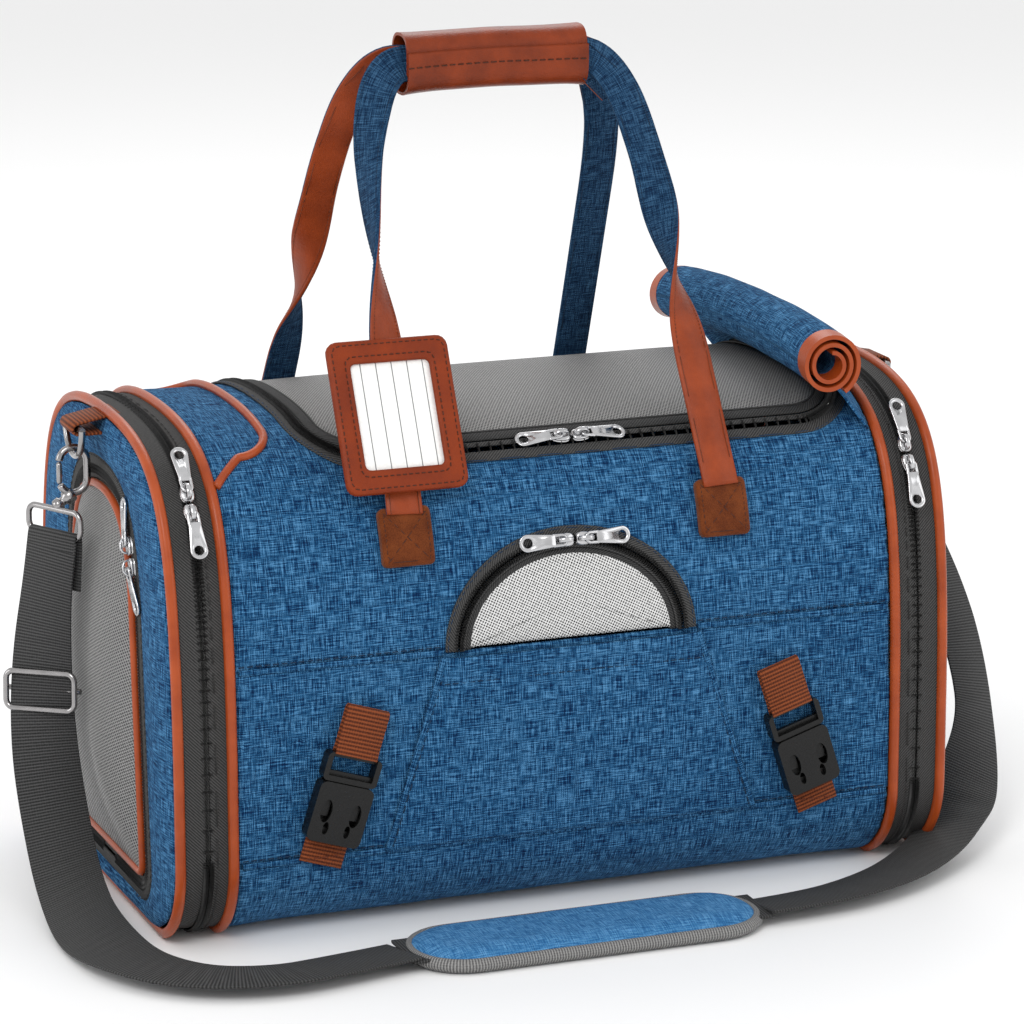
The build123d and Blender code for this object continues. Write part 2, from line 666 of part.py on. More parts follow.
def main():
    os.makedirs("parts", exist_ok=True)
    for name, shape in nodes().items():
        solids = [s for piece in (shape if isinstance(shape, list) else [shape]) for s in piece.solids()]
        export_step(Compound(solids) if len(solids) > 1 else solids[0], f"parts/{name}.step")
    for name, (point, axis) in pivots().items():
        print("pivot", name, *[round(v, 4) for v in (*Vector(point), *Vector(axis))])


main()
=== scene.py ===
import json
import math

import bpy
import numpy as np
from mathutils import Matrix, Vector, noise

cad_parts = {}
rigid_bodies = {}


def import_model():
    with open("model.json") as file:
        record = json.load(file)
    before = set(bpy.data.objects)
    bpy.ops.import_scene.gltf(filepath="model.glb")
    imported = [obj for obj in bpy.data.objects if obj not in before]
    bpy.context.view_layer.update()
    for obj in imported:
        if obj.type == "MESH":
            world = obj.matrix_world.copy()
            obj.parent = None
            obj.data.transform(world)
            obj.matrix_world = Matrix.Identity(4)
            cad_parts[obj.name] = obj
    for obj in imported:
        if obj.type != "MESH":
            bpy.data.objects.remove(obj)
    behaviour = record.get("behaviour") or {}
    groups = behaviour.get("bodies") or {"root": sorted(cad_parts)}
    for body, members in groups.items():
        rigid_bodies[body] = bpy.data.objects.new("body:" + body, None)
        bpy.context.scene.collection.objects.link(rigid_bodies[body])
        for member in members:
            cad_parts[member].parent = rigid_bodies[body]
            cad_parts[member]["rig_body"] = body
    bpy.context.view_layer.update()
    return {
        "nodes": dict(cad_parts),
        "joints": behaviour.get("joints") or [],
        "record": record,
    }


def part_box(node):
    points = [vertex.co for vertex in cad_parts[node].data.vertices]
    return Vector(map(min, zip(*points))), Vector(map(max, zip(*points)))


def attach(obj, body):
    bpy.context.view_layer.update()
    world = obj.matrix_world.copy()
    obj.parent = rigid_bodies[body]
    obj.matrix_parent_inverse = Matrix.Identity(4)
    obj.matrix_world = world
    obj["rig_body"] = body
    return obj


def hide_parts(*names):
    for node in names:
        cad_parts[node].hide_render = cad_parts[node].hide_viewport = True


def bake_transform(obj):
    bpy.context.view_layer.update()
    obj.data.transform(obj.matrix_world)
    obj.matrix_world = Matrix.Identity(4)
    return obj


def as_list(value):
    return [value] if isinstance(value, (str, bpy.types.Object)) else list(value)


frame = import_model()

# The pet carrier bag. Metres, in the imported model's frame: +X along the bag, -Y the front, +Z up.

MM = 0.001
shell_high = Vector(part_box("body_shell")[1])
HALF_WIDTH, CROWN, SHELL_X = shell_high.y, shell_high.z, shell_high.x
PIPING = 6 * MM
SPRING = 80 * MM            # where the sides begin to lean in
SQUARENESS = 0.85
FOOT = 50 * MM              # lower corners of the cross-section
END_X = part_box("right_end_piping")[1][0] - PIPING / 2       # middle of the outer piping
RING_IN = SHELL_X + PIPING / 2                              # middle of the inner piping
COIL_X = END_X - (END_X - RING_IN) * 0.53
TOP_X, TOP_Y, TOP_CORNER = (-138 * MM, 188 * MM), 94 * MM, 34 * MM
WINDOW_HALF, WINDOW_RISE, WINDOW_SILL = 68 * MM, 56 * MM, 157 * MM
POCKET_TOP, POCKET_FOOT, POCKET_HALF = 154 * MM, 48 * MM, (76 * MM, 110 * MM)
DOOR_FOOT_HALF, DOOR_HALF = 76 * MM, 66 * MM
DOOR_SILL, DOOR_SPRING, DOOR_TOP = 20 * MM, 172 * MM, 243 * MM
WEBBING = 25 * MM
TAPE_THICKNESS = 1.4 * MM
SEAM_WIDTH = 1.1 * MM
BUCKLE_X = 149 * MM
STRAP_WIDTH = 38 * MM
MIDDLE_Z = 120 * MM         # about half way up the ends
ENDS = (("left", -1), ("right", 1))
UP = Vector((0, 0, 1))
SLOTS = {part["node"]: part["material_slot"] for part in frame["record"]["subparts"]}


# ---------- camera, floor and light ----------

def studio():
    scene = bpy.context.scene
    scene.view_settings.view_transform = "Standard"
    camera = bpy.data.objects.new("camera", bpy.data.cameras.new("camera"))
    scene.collection.objects.link(camera)
    camera.location = (-0.8766, -2.3101, 0.8157)
    camera.rotation_euler = (math.radians(90 - 14.01), 0, math.radians(-21.1))
    camera.data.lens, camera.data.sensor_width = 154.7, 36
    scene.camera = camera
    world = scene.world or bpy.data.worlds.new("studio")
    scene.world = world
    world.use_nodes = True
    world.node_tree.nodes["Background"].inputs[0].default_value = (1.0, 1.0, 1.0, 1)
    world.node_tree.nodes["Background"].inputs[1].default_value = 0.93
    lights = {
        "key": ((-1.3, -1.7, 1.9), 1.1, 22),
        "fill": ((1.7, -1.5, 1.0), 1.6, 7),
        "rim": ((0.6, 1.7, 1.9), 1.4, 12),
        "side": ((-2.2, 0.2, 0.7), 1.0, 7),
    }
    for name, (place, size, watts) in lights.items():
        light = bpy.data.lights.new(name, "AREA")
        light.shape, light.size, light.energy = "DISK", size, watts
        lamp = bpy.data.objects.new(name, light)
        lamp.location = place
        lamp.rotation_euler = (Vector((0, 0, 0.15)) - Vector(place)).to_track_quat("-Z", "Y").to_euler()
        scene.collection.objects.link(lamp)
    half = 6.0
    floor = mesh_object("floor", [(-half, -half, 0), (half, -half, 0), (half, half, 0), (-half, half, 0)],
                        [(0, 1, 2, 3)])
    pale = Paint("pale_floor", (0.9, 0.9, 0.9), roughness=0.9)
    floor.data.materials.append(pale.material)


# ---------- materials ----------

class Paint:
    """One procedural material, built node by node."""

    def __init__(self, name, colour, roughness=0.6, metallic=0.0, **sockets):
        self.material = bpy.data.materials.new(name)
        self.material.use_nodes = True
        self.tree = self.material.node_tree
        self.shader = self.tree.nodes["Principled BSDF"]
        sockets = {"Base Color": (*colour, 1), "Roughness": roughness, "Metallic": metallic,
                   **{word.replace("_", " "): value for word, value in sockets.items()}}
        for socket, value in sockets.items():
            self.shader.inputs[socket].default_value = value

    def node(self, kind, inputs=(), output=0, **settings):
        made = self.tree.nodes.new("ShaderNode" + kind)
        for key, value in settings.items():
            setattr(made, key, value)
        for socket, value in dict(inputs).items():
            if isinstance(value, bpy.types.NodeSocket):
                self.tree.links.new(value, made.inputs[socket])
            else:
                made.inputs[socket].default_value = value
        return made.outputs[output]

    def uv(self, scale=(1, 1, 1)):
        return self.node("Mapping", {"Vector": self.node("UVMap"), "Scale": scale})

    def place(self, scale=(1, 1, 1)):
        return self.node("Mapping", {"Vector": self.node("TexCoord", output=3), "Scale": scale})

    def noise(self, vector, detail=2.0, roughness=0.5):
        return self.node("TexNoise", {"Vector": vector, "Scale": 1.0, "Detail": detail,
                                      "Roughness": roughness})

    def math(self, operation, a, b=0.0):
        return self.node("Math", {0: a, 1: b}, operation=operation)

    def ramp(self, factor, *stops):
        made = self.node("ValToRGB", {"Fac": factor}).node
        elements = made.color_ramp.elements
        while len(elements) < len(stops):
            elements.new(0.5)
        for element, (position, colour) in zip(elements, stops):
            element.position = position
            element.color = (*colour, 1)
        return made.outputs[0]

    def grey(self, factor, low, high, floor=0.0, top=1.0):
        return self.node("MapRange", {"Value": factor, 1: low, 2: high, 3: floor, 4: top})

    def mix(self, factor, a, b):
        return self.node("Mix", {0: factor, 6: a, 7: b}, output=2, data_type="RGBA")

    def set(self, socket, value):
        self.tree.links.new(value, self.shader.inputs[socket])

    def bump(self, height, distance):
        self.set("Normal", self.node("Bump", {"Height": height, "Distance": distance, "Strength": 1.0}))

    def waves(self, vector, axis, pitch):
        """From 0 to 1 and back every pitch along one axis of the vector."""
        along = self.node("SeparateXYZ", {0: vector}, output=axis)
        turn = self.math("SINE", self.math("MULTIPLY", along, 2 * math.pi / pitch))
        return self.math("MULTIPLY_ADD", turn, 0.5)


def canvas(name, dark, middle, light, thread=0.6 * MM, slub=11 * MM):
    """Heathered canvas: threads of uneven colour and thickness, both ways."""
    paint = Paint(name, middle, roughness=0.9, Sheen_Weight=0.02, Specular_IOR_Level=0.08)
    across = paint.noise(paint.uv((1 / thread, 1 / slub, 1)), 3.0, 0.65)
    along = paint.noise(paint.uv((1 / slub, 1 / thread, 1)), 3.0, 0.65)
    threads = paint.math("MULTIPLY", paint.math("ADD", across, along), 0.5)
    clouds = paint.noise(paint.uv((14, 14, 1)), 2.0)
    tone = paint.math("ADD", threads, paint.grey(clouds, 0.3, 0.7, -0.012, 0.012))
    paint.set("Base Color", paint.ramp(tone, (0.42, dark), (0.5, middle), (0.585, light)))
    knots = paint.math("MULTIPLY", paint.waves(paint.uv(), 0, 2.2 * thread),
                       paint.waves(paint.uv(), 1, 2.2 * thread))
    paint.bump(paint.math("ADD", knots, paint.math("MULTIPLY", threads, 2.0)), 0.00035)
    return paint.material


def webbing(name, dark, light, rib=1.7 * MM):
    """Ribbed webbing: short ribs across the strap in staggered rows, with painted shade darkening the grooves
    between them. U runs along it.
    """
    paint = Paint(name, light, roughness=0.75, Sheen_Weight=0.04, Specular_IOR_Level=0.2)
    uv = paint.uv()
    rows = paint.waves(uv, 1, 1.5 * MM)
    ribs = paint.waves(uv, 0, rib)
    grain = paint.noise(paint.uv((900, 900, 1)), 2.0)
    height = paint.math("MULTIPLY_ADD", ribs, 0.8)
    height.node.inputs[2].default_value = 0.0
    height = paint.math("ADD", height, paint.math("MULTIPLY", rows, 0.2))
    # Painted shade: the colour follows the ribs' height, dark in the grooves and light on the crests; the
    # grain on top is the webbing's own.
    tone = paint.math("ADD", height, paint.grey(grain, 0.3, 0.7, -0.15, 0.15))
    paint.set("Base Color", paint.ramp(tone, (0.12, dark), (0.85, light)))
    paint.bump(height, 0.0005)
    return paint.material


def twill(name, dark, light):
    """Zip tape: fine diagonal ribs, with painted shade darkening the troughs between them."""
    paint = Paint(name, light, roughness=0.8, Specular_IOR_Level=0.3)
    turned = paint.node("Mapping", {"Vector": paint.node("UVMap"), "Rotation": (0, 0, math.radians(45))})
    ribs = paint.waves(turned, 0, 1.3 * MM)
    grain = paint.noise(paint.uv((700, 700, 1)), 2.0)
    # Painted shade: the colour follows the ribs, dark in their troughs; the grain is the tape's own.
    tone = paint.math("ADD", ribs, paint.grey(grain, 0.3, 0.7, -0.2, 0.2))
    paint.set("Base Color", paint.ramp(tone, (0.1, dark), (0.9, light)))
    paint.bump(ribs, 0.0003)
    return paint.material


def netting(name, thread_colour, gap_shade_colour, pitch=1.5 * MM, see_through=0.0):
    """Open mesh: crossing threads with small gaps between them, the gaps painted dark as painted shade of the
    bag's inside seen through them.
    """
    paint = Paint(name, thread_colour, roughness=0.55, Specular_IOR_Level=0.4)
    turned = paint.node("Mapping", {"Vector": paint.node("UVMap"), "Rotation": (0, 0, math.radians(28))})
    threads = paint.math("MAXIMUM", paint.waves(turned, 0, pitch), paint.waves(turned, 1, pitch))
    grain = paint.noise(paint.uv((500, 500, 1)), 2.0)
    solid = paint.grey(paint.math("ADD", threads, paint.grey(grain, 0.3, 0.7, -0.1, 0.1)), 0.55, 0.8)
    # Painted shade: the gaps get a dark colour for the shaded inside of the bag seen through the holes.
    paint.set("Base Color", paint.mix(solid, (*gap_shade_colour, 1), (*thread_colour, 1)))
    paint.bump(solid, 0.0004)
    if see_through:
        paint.set("Alpha", paint.grey(solid, 0.0, 1.0, 1 - see_through, 1.0))
    return paint.material


def leather(name, dark, light, roughness=0.42, grain=1400, depth=0.00018, coat=0.12):
    paint = Paint(name, light, roughness=roughness, Coat_Weight=coat, Coat_Roughness=0.25,
                  Specular_IOR_Level=0.2)
    pores = paint.node("TexVoronoi", {"Vector": paint.place((grain, grain, grain)), "Scale": 1.0})
    cloud = paint.noise(paint.place((45, 45, 45)), 4.0, 0.6)
    paint.set("Base Color", paint.ramp(cloud, (0.3, dark), (0.65, light)))
    paint.set("Roughness", paint.grey(cloud, 0.3, 0.7, roughness - 0.07, roughness + 0.08))
    paint.bump(paint.math("ADD", pores, paint.math("MULTIPLY", cloud, 2.0)), depth)
    return paint.material


def suede(name, dark, light):
    paint = Paint(name, light, roughness=0.95, Sheen_Weight=0.12, Specular_IOR_Level=0.15)
    nap = paint.noise(paint.place((1500, 1500, 1500)), 3.0, 0.7)
    cloud = paint.noise(paint.place((90, 90, 90)), 3.0)
    tone = paint.math("MULTIPLY", paint.math("ADD", nap, cloud), 0.5)
    paint.set("Base Color", paint.ramp(tone, (0.38, dark), (0.62, light)))
    paint.bump(nap, 0.0004)
    return paint.material


def metal(name, colour, roughness):
    paint = Paint(name, colour, roughness=roughness, metallic=1.0)
    wear = paint.noise(paint.place((120, 120, 120)), 2.0, 0.5)
    paint.set("Roughness", paint.grey(wear, 0.35, 0.7, roughness * 0.7, roughness * 1.6))
    paint.set("Base Color", paint.ramp(wear, (0.3, [c * 0.85 for c in colour]), (0.6, colour)))
    paint.bump(wear, 0.00001)
    return paint.material


def moulded(name, dark, light, roughness=0.38):
    paint = Paint(name, light, roughness=roughness, Specular_IOR_Level=0.3)
    grain = paint.noise(paint.place((900, 900, 900)), 3.0, 0.6)
    paint.set("Base Color", paint.ramp(grain, (0.35, dark), (0.65, light)))
    paint.set("Roughness", paint.grey(grain, 0.3, 0.7, roughness - 0.06, roughness + 0.1))
    paint.bump(grain, 0.00005)
    return paint.material


def ruled_card(name):
    """White card with fine ruled lines across it."""
    paint = Paint(name, (0.85, 0.85, 0.83), roughness=0.35, Coat_Weight=0.4, Coat_Roughness=0.1)
    lines = paint.grey(paint.waves(paint.uv(), 0, 9 * MM), 0.985, 0.995)
    speck = paint.noise(paint.place((600, 600, 600)), 2.0)
    white = paint.ramp(speck, (0.3, (0.80, 0.80, 0.78)), (0.7, (0.9, 0.9, 0.88)))
    paint.set("Base Color", paint.mix(lines, white, (0.12, 0.12, 0.13, 1)))
    paint.bump(speck, 0.00003)
    return paint.material


# ---------- building meshes ----------

def mesh_object(name, vertices, faces, uvs=None, indices=None, materials=(), smooth=True):
    """uvs has one pair for each corner of each face, in order."""
    data = bpy.data.meshes.new(name)
    data.from_pydata([tuple(v) for v in vertices], [], faces)
    if uvs is not None:
        layer = data.uv_layers.new(name="UVMap")
        layer.data.foreach_set("uv", np.array(uvs, dtype=np.float32).ravel())
    if indices is not None:
        data.polygons.foreach_set("material_index", indices)
    if smooth:
        data.shade_smooth()
    data.update()
    made = bpy.data.objects.new(name, data)
    bpy.context.scene.collection.objects.link(made)
    for material in materials:
        data.materials.append(material)
    return made


def baked(made):
    """Applies the piece's modifiers."""
    graph = bpy.context.evaluated_depsgraph_get()
    data = bpy.data.meshes.new_from_object(made.evaluated_get(graph))
    made.modifiers.clear()
    made.data = data
    return made


def thicken(made, thickness, offset=-1.0):
    """Gives a skin its thickness, by default inwards from its outer side."""
    solid = made.modifiers.new("thickness", "SOLIDIFY")
    solid.thickness, solid.offset = thickness, offset
    return baked(made)


def joined(name, made):
    """Several pieces as one object, under one name."""
    bpy.ops.object.select_all(action="DESELECT")
    for piece in made:
        piece.select_set(True)
    bpy.context.view_layer.objects.active = made[0]
    bpy.ops.object.join()
    made[0].name = name
    return made[0]


def stand_in(piece, node):
    """Puts a piece in a CAD node's place, on the same body, and hides the node."""
    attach(piece, frame["nodes"][node]["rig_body"])
    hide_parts(node)
    return piece


def corners(node):
    """The low and high corners of a CAD node's box."""
    return [Vector(corner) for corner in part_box(node)]


def spaced(points, count, closed=False):
    """The same line with that many points, evenly spaced along it."""
    points = np.array(points, dtype=float)
    if closed:
        points = np.vstack([points, points[:1]])
    along = np.concatenate([[0], np.cumsum(np.linalg.norm(np.diff(points, axis=0), axis=1))])
    at = np.linspace(0, along[-1], count + 1 if closed else count)
    even = np.stack([np.interp(at, along, points[:, i]) for i in range(points.shape[1])], axis=1)
    return even[:-1] if closed else even


def smoothed(values, reach):
    """Each value averaged with that many neighbours on both sides."""
    kernel = np.ones(2 * reach + 1) / (2 * reach + 1)
    return np.convolve(np.pad(values, reach, mode="edge"), kernel, mode="valid")


def length_of(points, closed=False):
    points = np.array(points, dtype=float)
    total = np.linalg.norm(np.diff(points, axis=0), axis=1).sum()
    return total + (np.linalg.norm(points[0] - points[-1]) if closed else 0.0)


def tangents(line, closed):
    line = [Vector(p) for p in line]
    last = len(line) - 1
    before = [line[i - 1] if closed or i else line[0] for i in range(last + 1)]
    after = [line[(i + 1) % (last + 1)] if closed or i < last else line[last] for i in range(last + 1)]
    return [(b - a).normalized() for a, b in zip(before, after)]


def sweep(name, line, outwards, shape, material, closed=False, sides=None):
    """Carries a closed shape of (across, outwards) points along a line. U runs along it, V round it."""
    line = [Vector(p) for p in line]
    ways = tangents(line, closed)
    outwards = [Vector(o) for o in outwards]
    vertices, around = [], len(shape)
    for point, way, out in zip(line, ways, outwards):
        across = way.cross(out).normalized()
        out = across.cross(way)
        vertices += [point + across * a + out * o for a, o in shape]
    girth = [0.0]
    for i in range(around):
        a, b = shape[i], shape[(i + 1) % around]
        girth.append(girth[-1] + math.dist(a, b))
    run = [0.0]
    for i in range(len(line) - (0 if closed else 1)):
        run.append(run[-1] + (line[(i + 1) % len(line)] - line[i]).length)
    faces, uvs, indices = [], [], []
    for i in range(len(run) - 1):
        j = (i + 1) % len(line)
        for k in range(around):
            m = (k + 1) % around
            faces.append((i * around + k, j * around + k, j * around + m, i * around + m))
            u, v, w, x = run[i], run[i + 1], girth[k], girth[k + 1]
            uvs += [(u, w), (v, w), (v, x), (u, x)]
            indices.append(sides[k] if sides else 0)
    if not closed:
        for start, order in ((0, 1), ((len(line) - 1) * around, -1)):
            faces.append(tuple(range(start, start + around))[::order])
            uvs += [tuple(shape[k]) for k in range(around)][::order]
            indices.append(0)
    materials = material if isinstance(material, (list, tuple)) else [material]
    return mesh_object(name, vertices, faces, uvs, indices, materials)


def disc(radius, count=12):
    return [(radius * math.cos(a), radius * math.sin(a))
            for a in np.linspace(0, 2 * math.pi, count, endpoint=False)]


def flat(width, thickness, low=0.0, edge=0.0):
    """A flat strip's shape, its lower side at low, its long edges thinned when edge is given."""
    half, high = width / 2, low + thickness
    edge = edge or thickness * 0.3
    return [(-half, low + edge), (-half + edge, low), (half - edge, low), (half, low + edge),
            (half, high - edge), (half - edge, high), (-half + edge, high), (-half, high - edge)]


def skin(name, loops, material, closed=True, centre=False, uv=None):
    """Quads between loops of the same number of points. uv gives a point's texture place."""
    count = len(loops[0])
    vertices = [Vector(p) for loop in loops for p in loop]
    faces = []
    for i in range(len(loops) - 1):
        for k in range(count if closed else count - 1):
            m = (k + 1) % count
            faces.append((i * count + k, i * count + m, (i + 1) * count + m, (i + 1) * count + k))
    if centre:
        middle = sum((Vector(p) for p in loops[-1]), Vector()) / count
        vertices.append(middle)
        start = (len(loops) - 1) * count
        faces += [(start + k, start + (k + 1) % count, len(vertices) - 1) for k in range(count)]
    uvs = [uv(vertices[i]) for face in faces for i in face] if uv else None
    return mesh_object(name, vertices, faces, uvs, None, [material])


def stitches(name, line, outwards, material, stitch=3.2 * MM, gap=1.6 * MM, radius=0.35 * MM, closed=False):
    """A row of thread stitches lying on a line."""
    total = length_of(line, closed)
    count = max(2, int(total / (stitch + gap)))
    fine = spaced([(*p, *o) for p, o in zip(line, outwards)], count * 6 + (0 if closed else 1), closed)
    vertices, faces = [], []
    share = stitch / (stitch + gap)
    for i in range(count):
        a, b = fine[i * 6], fine[min(i * 6 + 6, len(fine) - 1)]
        start, out = Vector(a[:3]), Vector(a[3:]).normalized()
        end = start + (Vector(b[:3]) - start) * share
        if (end - start).length < 1e-5:
            continue
        across = (end - start).normalized().cross(out) * radius
        base = len(vertices)
        rise = out * radius
        for point, size in ((start, 0.4), ((start + end) / 2, 1.3), (end, 0.4)):
            vertices += [point - across, point + rise * size * 1.4, point + across, point - rise * 0.6]
        for ring in (0, 4):
            for k in range(4):
                m = (k + 1) % 4
                faces.append((base + ring + k, base + ring + m, base + ring + 4 + m, base + ring + 4 + k))
        faces += [(base + 3, base + 2, base + 1, base), (base + 8, base + 9, base + 10, base + 11)]
    return mesh_object(name, vertices, faces, None, None, [material])


def teeth(name, line, outwards, material, width=6.2 * MM, pitch=1.7 * MM, height=1.7 * MM, closed=False):
    """A zip's coil: small rounded bars side by side along a line, with a groove along the middle."""
    count = int(length_of(line, closed) / pitch)
    fine = spaced([(*p, *o) for p, o in zip(line, outwards)], count, closed)
    ways = tangents([f[:3] for f in fine], closed)
    vertices, faces = [], []
    for row, way in zip(fine, ways):
        point, out = Vector(row[:3]), Vector(row[3:]).normalized()
        across = way.cross(out).normalized()
        for side in (-1, 1):
            base = len(vertices)
            near, far = across * side * 0.25 * MM, across * side * width / 2
            for end, tall in ((near, 0.8), ((near + far) / 2, 1.0), (far, 0.35)):
                for along in (-0.36, 0.36):
                    vertices.append(point + end + way * along * pitch)
                vertices.append(point + end + out * height * tall)
            for ring in (0, 3):
                for k in range(3):
                    m = (k + 1) % 3
                    corner = (base + ring + k, base + ring + m, base + ring + 3 + m, base + ring + 3 + k)
                    faces.append(corner if side > 0 else corner[::-1])
            ends = [(base + 2, base + 1, base), (base + 6, base + 7, base + 8)]
            faces += ends if side > 0 else [e[::-1] for e in ends]
    return mesh_object(name, vertices, faces, None, None, [material], smooth=False)


# ---------- the cross-section ----------

def bezier(handles, t):
    weights = ((1 - t) ** 3, 3 * t * (1 - t) ** 2, 3 * t * t * (1 - t), t ** 3)
    return tuple(sum(w * h[i] for w, h in zip(weights, handles)) for i in (0, 1))


def arch_handles(inset=0.0):
    half, top = HALF_WIDTH - inset, CROWN - inset
    return ((half, SPRING), (half, SPRING + SQUARENESS * (top - SPRING)), (SQUARENESS * half, top),
            (0.0, top))


ARCH = np.array([bezier(arch_handles(), t) for t in np.linspace(0, 1, 400)])


def corner_arc(x, z, turn, count, side=1):
    """A rounded corner about (x, z), from its foot up to its side."""
    return [(x + side * turn * math.sin(a), z - turn * math.cos(a))
            for a in np.linspace(0, math.pi / 2, count)]


def half_section(inset, lift):
    """The section's right half as (y, z), from the middle of the base to the crown."""
    half, low, foot = HALF_WIDTH - inset, max(inset, 0.0) + lift, FOOT - max(inset, 0.0)
    corner = corner_arc(half - foot, low + foot, foot, 20)
    return [(0.0, low)] + corner + [bezier(arch_handles(inset), t) for t in np.linspace(0, 1, 60)]


def around(half):
    """A closed line from its right half: it starts at the foot's middle and goes up the front."""
    return [(-y, z) for y, z in half] + [(y, z) for y, z in reversed(half[1:-1])]


def section(inset=0.0, lift=0.0, count=240):
    return spaced(around(half_section(inset, lift)), count, True)


def across_x(x, line):
    """A line of (y, z) standing at x."""
    return [Vector((x, y, z)) for y, z in line]


def outward_of(line):
    """Outward directions of a closed line in a plane across X."""
    ways = tangents(line, True)
    return [Vector((0, -way.z, way.y)).normalized() for way in ways]


def side_y(z):
    if z < FOOT:
        return HALF_WIDTH - FOOT + math.sqrt(max(FOOT ** 2 - (FOOT - z) ** 2, 0))
    return float(np.interp(z, ARCH[:, 1], ARCH[:, 0]))


def crown_z(y):
    return float(np.interp(abs(y), ARCH[::-1, 0], ARCH[::-1, 1]))


def on_side(x, z, out=0.0, side=-1):
    """A point of the front (side -1) or back at height z, and the outward direction there."""
    step = 2 * MM
    slope = Vector((0, side * (side_y(z + step) - side_y(z - step)), 2 * step)).normalized()
    normal = Vector((0, side * slope.z, -side * slope.y))
    return Vector((x, side * side_y(z), z)) + normal * out, normal


def on_crown(x, y, out=0.0):
    step = 2 * MM
    slope = Vector((0, 2 * step, crown_z(y + step) - crown_z(y - step))).normalized()
    normal = Vector((0, -slope.z, slope.y))
    return Vector((x, y, crown_z(y))) + normal * out, normal


def door_outline(grow=0.0, count=200):
    """An end door's zip line as (y, z), moved outwards by grow."""
    half, top, foot, low = DOOR_HALF + grow, DOOR_TOP + grow, DOOR_FOOT_HALF + grow, DOOR_SILL - grow
    shoulder = DOOR_SPRING + 0.75 * (top - DOOR_SPRING)
    arch = ((half, DOOR_SPRING), (half - 2 * MM, shoulder), (0.66 * half, top), (0.0, top))
    turn = 14 * MM + grow
    corner = corner_arc(foot - turn, low + turn, turn, 8)
    right = [(0.0, low)] + corner + [bezier(arch, t) for t in np.linspace(0, 1, 40)]
    return spaced(around(right), count, True)


def door_zip():
    """The part of the door's outline that the zip follows: up one side, over and down the other."""
    return door_outline()[4:-3]


def top_outline(shrink=0.0, count=240):
    """The top door's outline in plan, from the middle of its back edge round by the left."""
    low, high, half = TOP_X[0] + shrink, TOP_X[1] - shrink, TOP_Y - shrink
    middle, turn = (low + high) / 2, TOP_CORNER - shrink
    line = [(middle, half), (low, half)]
    line += corner_arc(low + turn, turn - half, turn, 12, -1)[::-1]
    line += corner_arc(high - turn, turn - half, turn, 12)
    line += [(high, half)]
    return spaced(line, count, True)


def top_zip(shrink=0.0):
    """The zip's part of it: down the left side, along the front and up the right side."""
    line = [p for p in top_outline(shrink, 300) if p[1] < TOP_Y - shrink - 0.5 * MM]
    return spaced(line, 220)


def window_arch(shrink=0.0, count=90):
    angles = np.linspace(math.pi, 0, count)
    return [((WINDOW_HALF - shrink) * math.cos(a), WINDOW_SILL + (WINDOW_RISE - shrink) * math.sin(a))
            for a in angles]


# ---------- the body's cloth ----------

def seam_depth(x, y, z):
    """How deep the canvas is drawn in at its sewn lines."""
    depth = 0.0
    if abs(y) > 0.09:
        level = math.exp(-((z - WINDOW_SILL) / SEAM_WIDTH) ** 2) if abs(x) > POCKET_HALF[0] or y > 0 else 0.0
        low = math.exp(-((z - POCKET_FOOT) / SEAM_WIDTH) ** 2)
        depth = 1.4 * max(level, low)
    return depth


def canvas_depth(x, y, z):
    """How far the canvas lies inside the frame's surface: slack, shallow folds and seams."""
    folds = noise.noise(Vector((x * 9, y * 9, z * 22))) + 0.5 * noise.noise(Vector((x * 30, y * 26, z * 40)))
    pull = noise.noise(Vector(((x + 0.6 * z) * 26, y * 5, (z - 0.6 * x) * 7)))
    near_ring = min(1.0, (SHELL_X - abs(x)) / 0.03)
    ripple = (0.75 + 0.6 * folds + 0.45 * pull) * MM * max(near_ring, 0.15)
    return max(ripple, 0.0) + 1.3 * MM * seam_depth(x, y, z)


def body_canvas(material):
    source = frame["nodes"]["body_shell"]
    made = bpy.data.objects.new("canvas_body", source.data.copy())
    bpy.context.scene.collection.objects.link(made)
    remesh = made.modifiers.new("even", "REMESH")
    remesh.mode, remesh.voxel_size = "VOXEL", 2.6 * MM
    soften = made.modifiers.new("soften", "SMOOTH")
    soften.iterations, soften.factor = 2, 0.5
    baked(made)
    data = made.data
    profile = section(count=700)
    outward = outward_of(across_x(0, profile))
    spots = np.empty(len(data.vertices) * 3)
    data.vertices.foreach_get("co", spots)
    spots = spots.reshape(-1, 3)
    nearest = np.empty(len(spots), dtype=int)
    for start in range(0, len(spots), 20000):
        part = spots[start:start + 20000, 1:]
        nearest[start:start + 20000] = ((part[:, None] - profile[None]) ** 2).sum(axis=2).argmin(axis=1)
    girth = length_of(profile, True)
    for spot, index in zip(spots, nearest):
        out = outward[index]
        spot -= np.array(out) * canvas_depth(*spot)
    spots[:, 2] = np.maximum(spots[:, 2], 0.0)
    data.vertices.foreach_set("co", spots.ravel())
    layer = data.uv_layers.new(name="UVMap")
    corner = np.empty(len(data.loops), dtype=int)
    data.loops.foreach_get("vertex_index", corner)
    uvs = np.stack([spots[corner, 0], nearest[corner] * girth / len(profile)], axis=1)
    layer.data.foreach_set("uv", uvs.astype(np.float32).ravel())
    data.materials.clear()
    data.materials.append(material)
    data.shade_smooth()
    return made


def hoop_tube(name, x, radius, inset, lift, material):
    """Piping that follows the cross-section."""
    line = [Vector((x, p[0], max(p[1], radius + lift))) for p in section(inset, 0, 300)]
    return sweep(name, line, outward_of(line), disc(radius), material, closed=True)


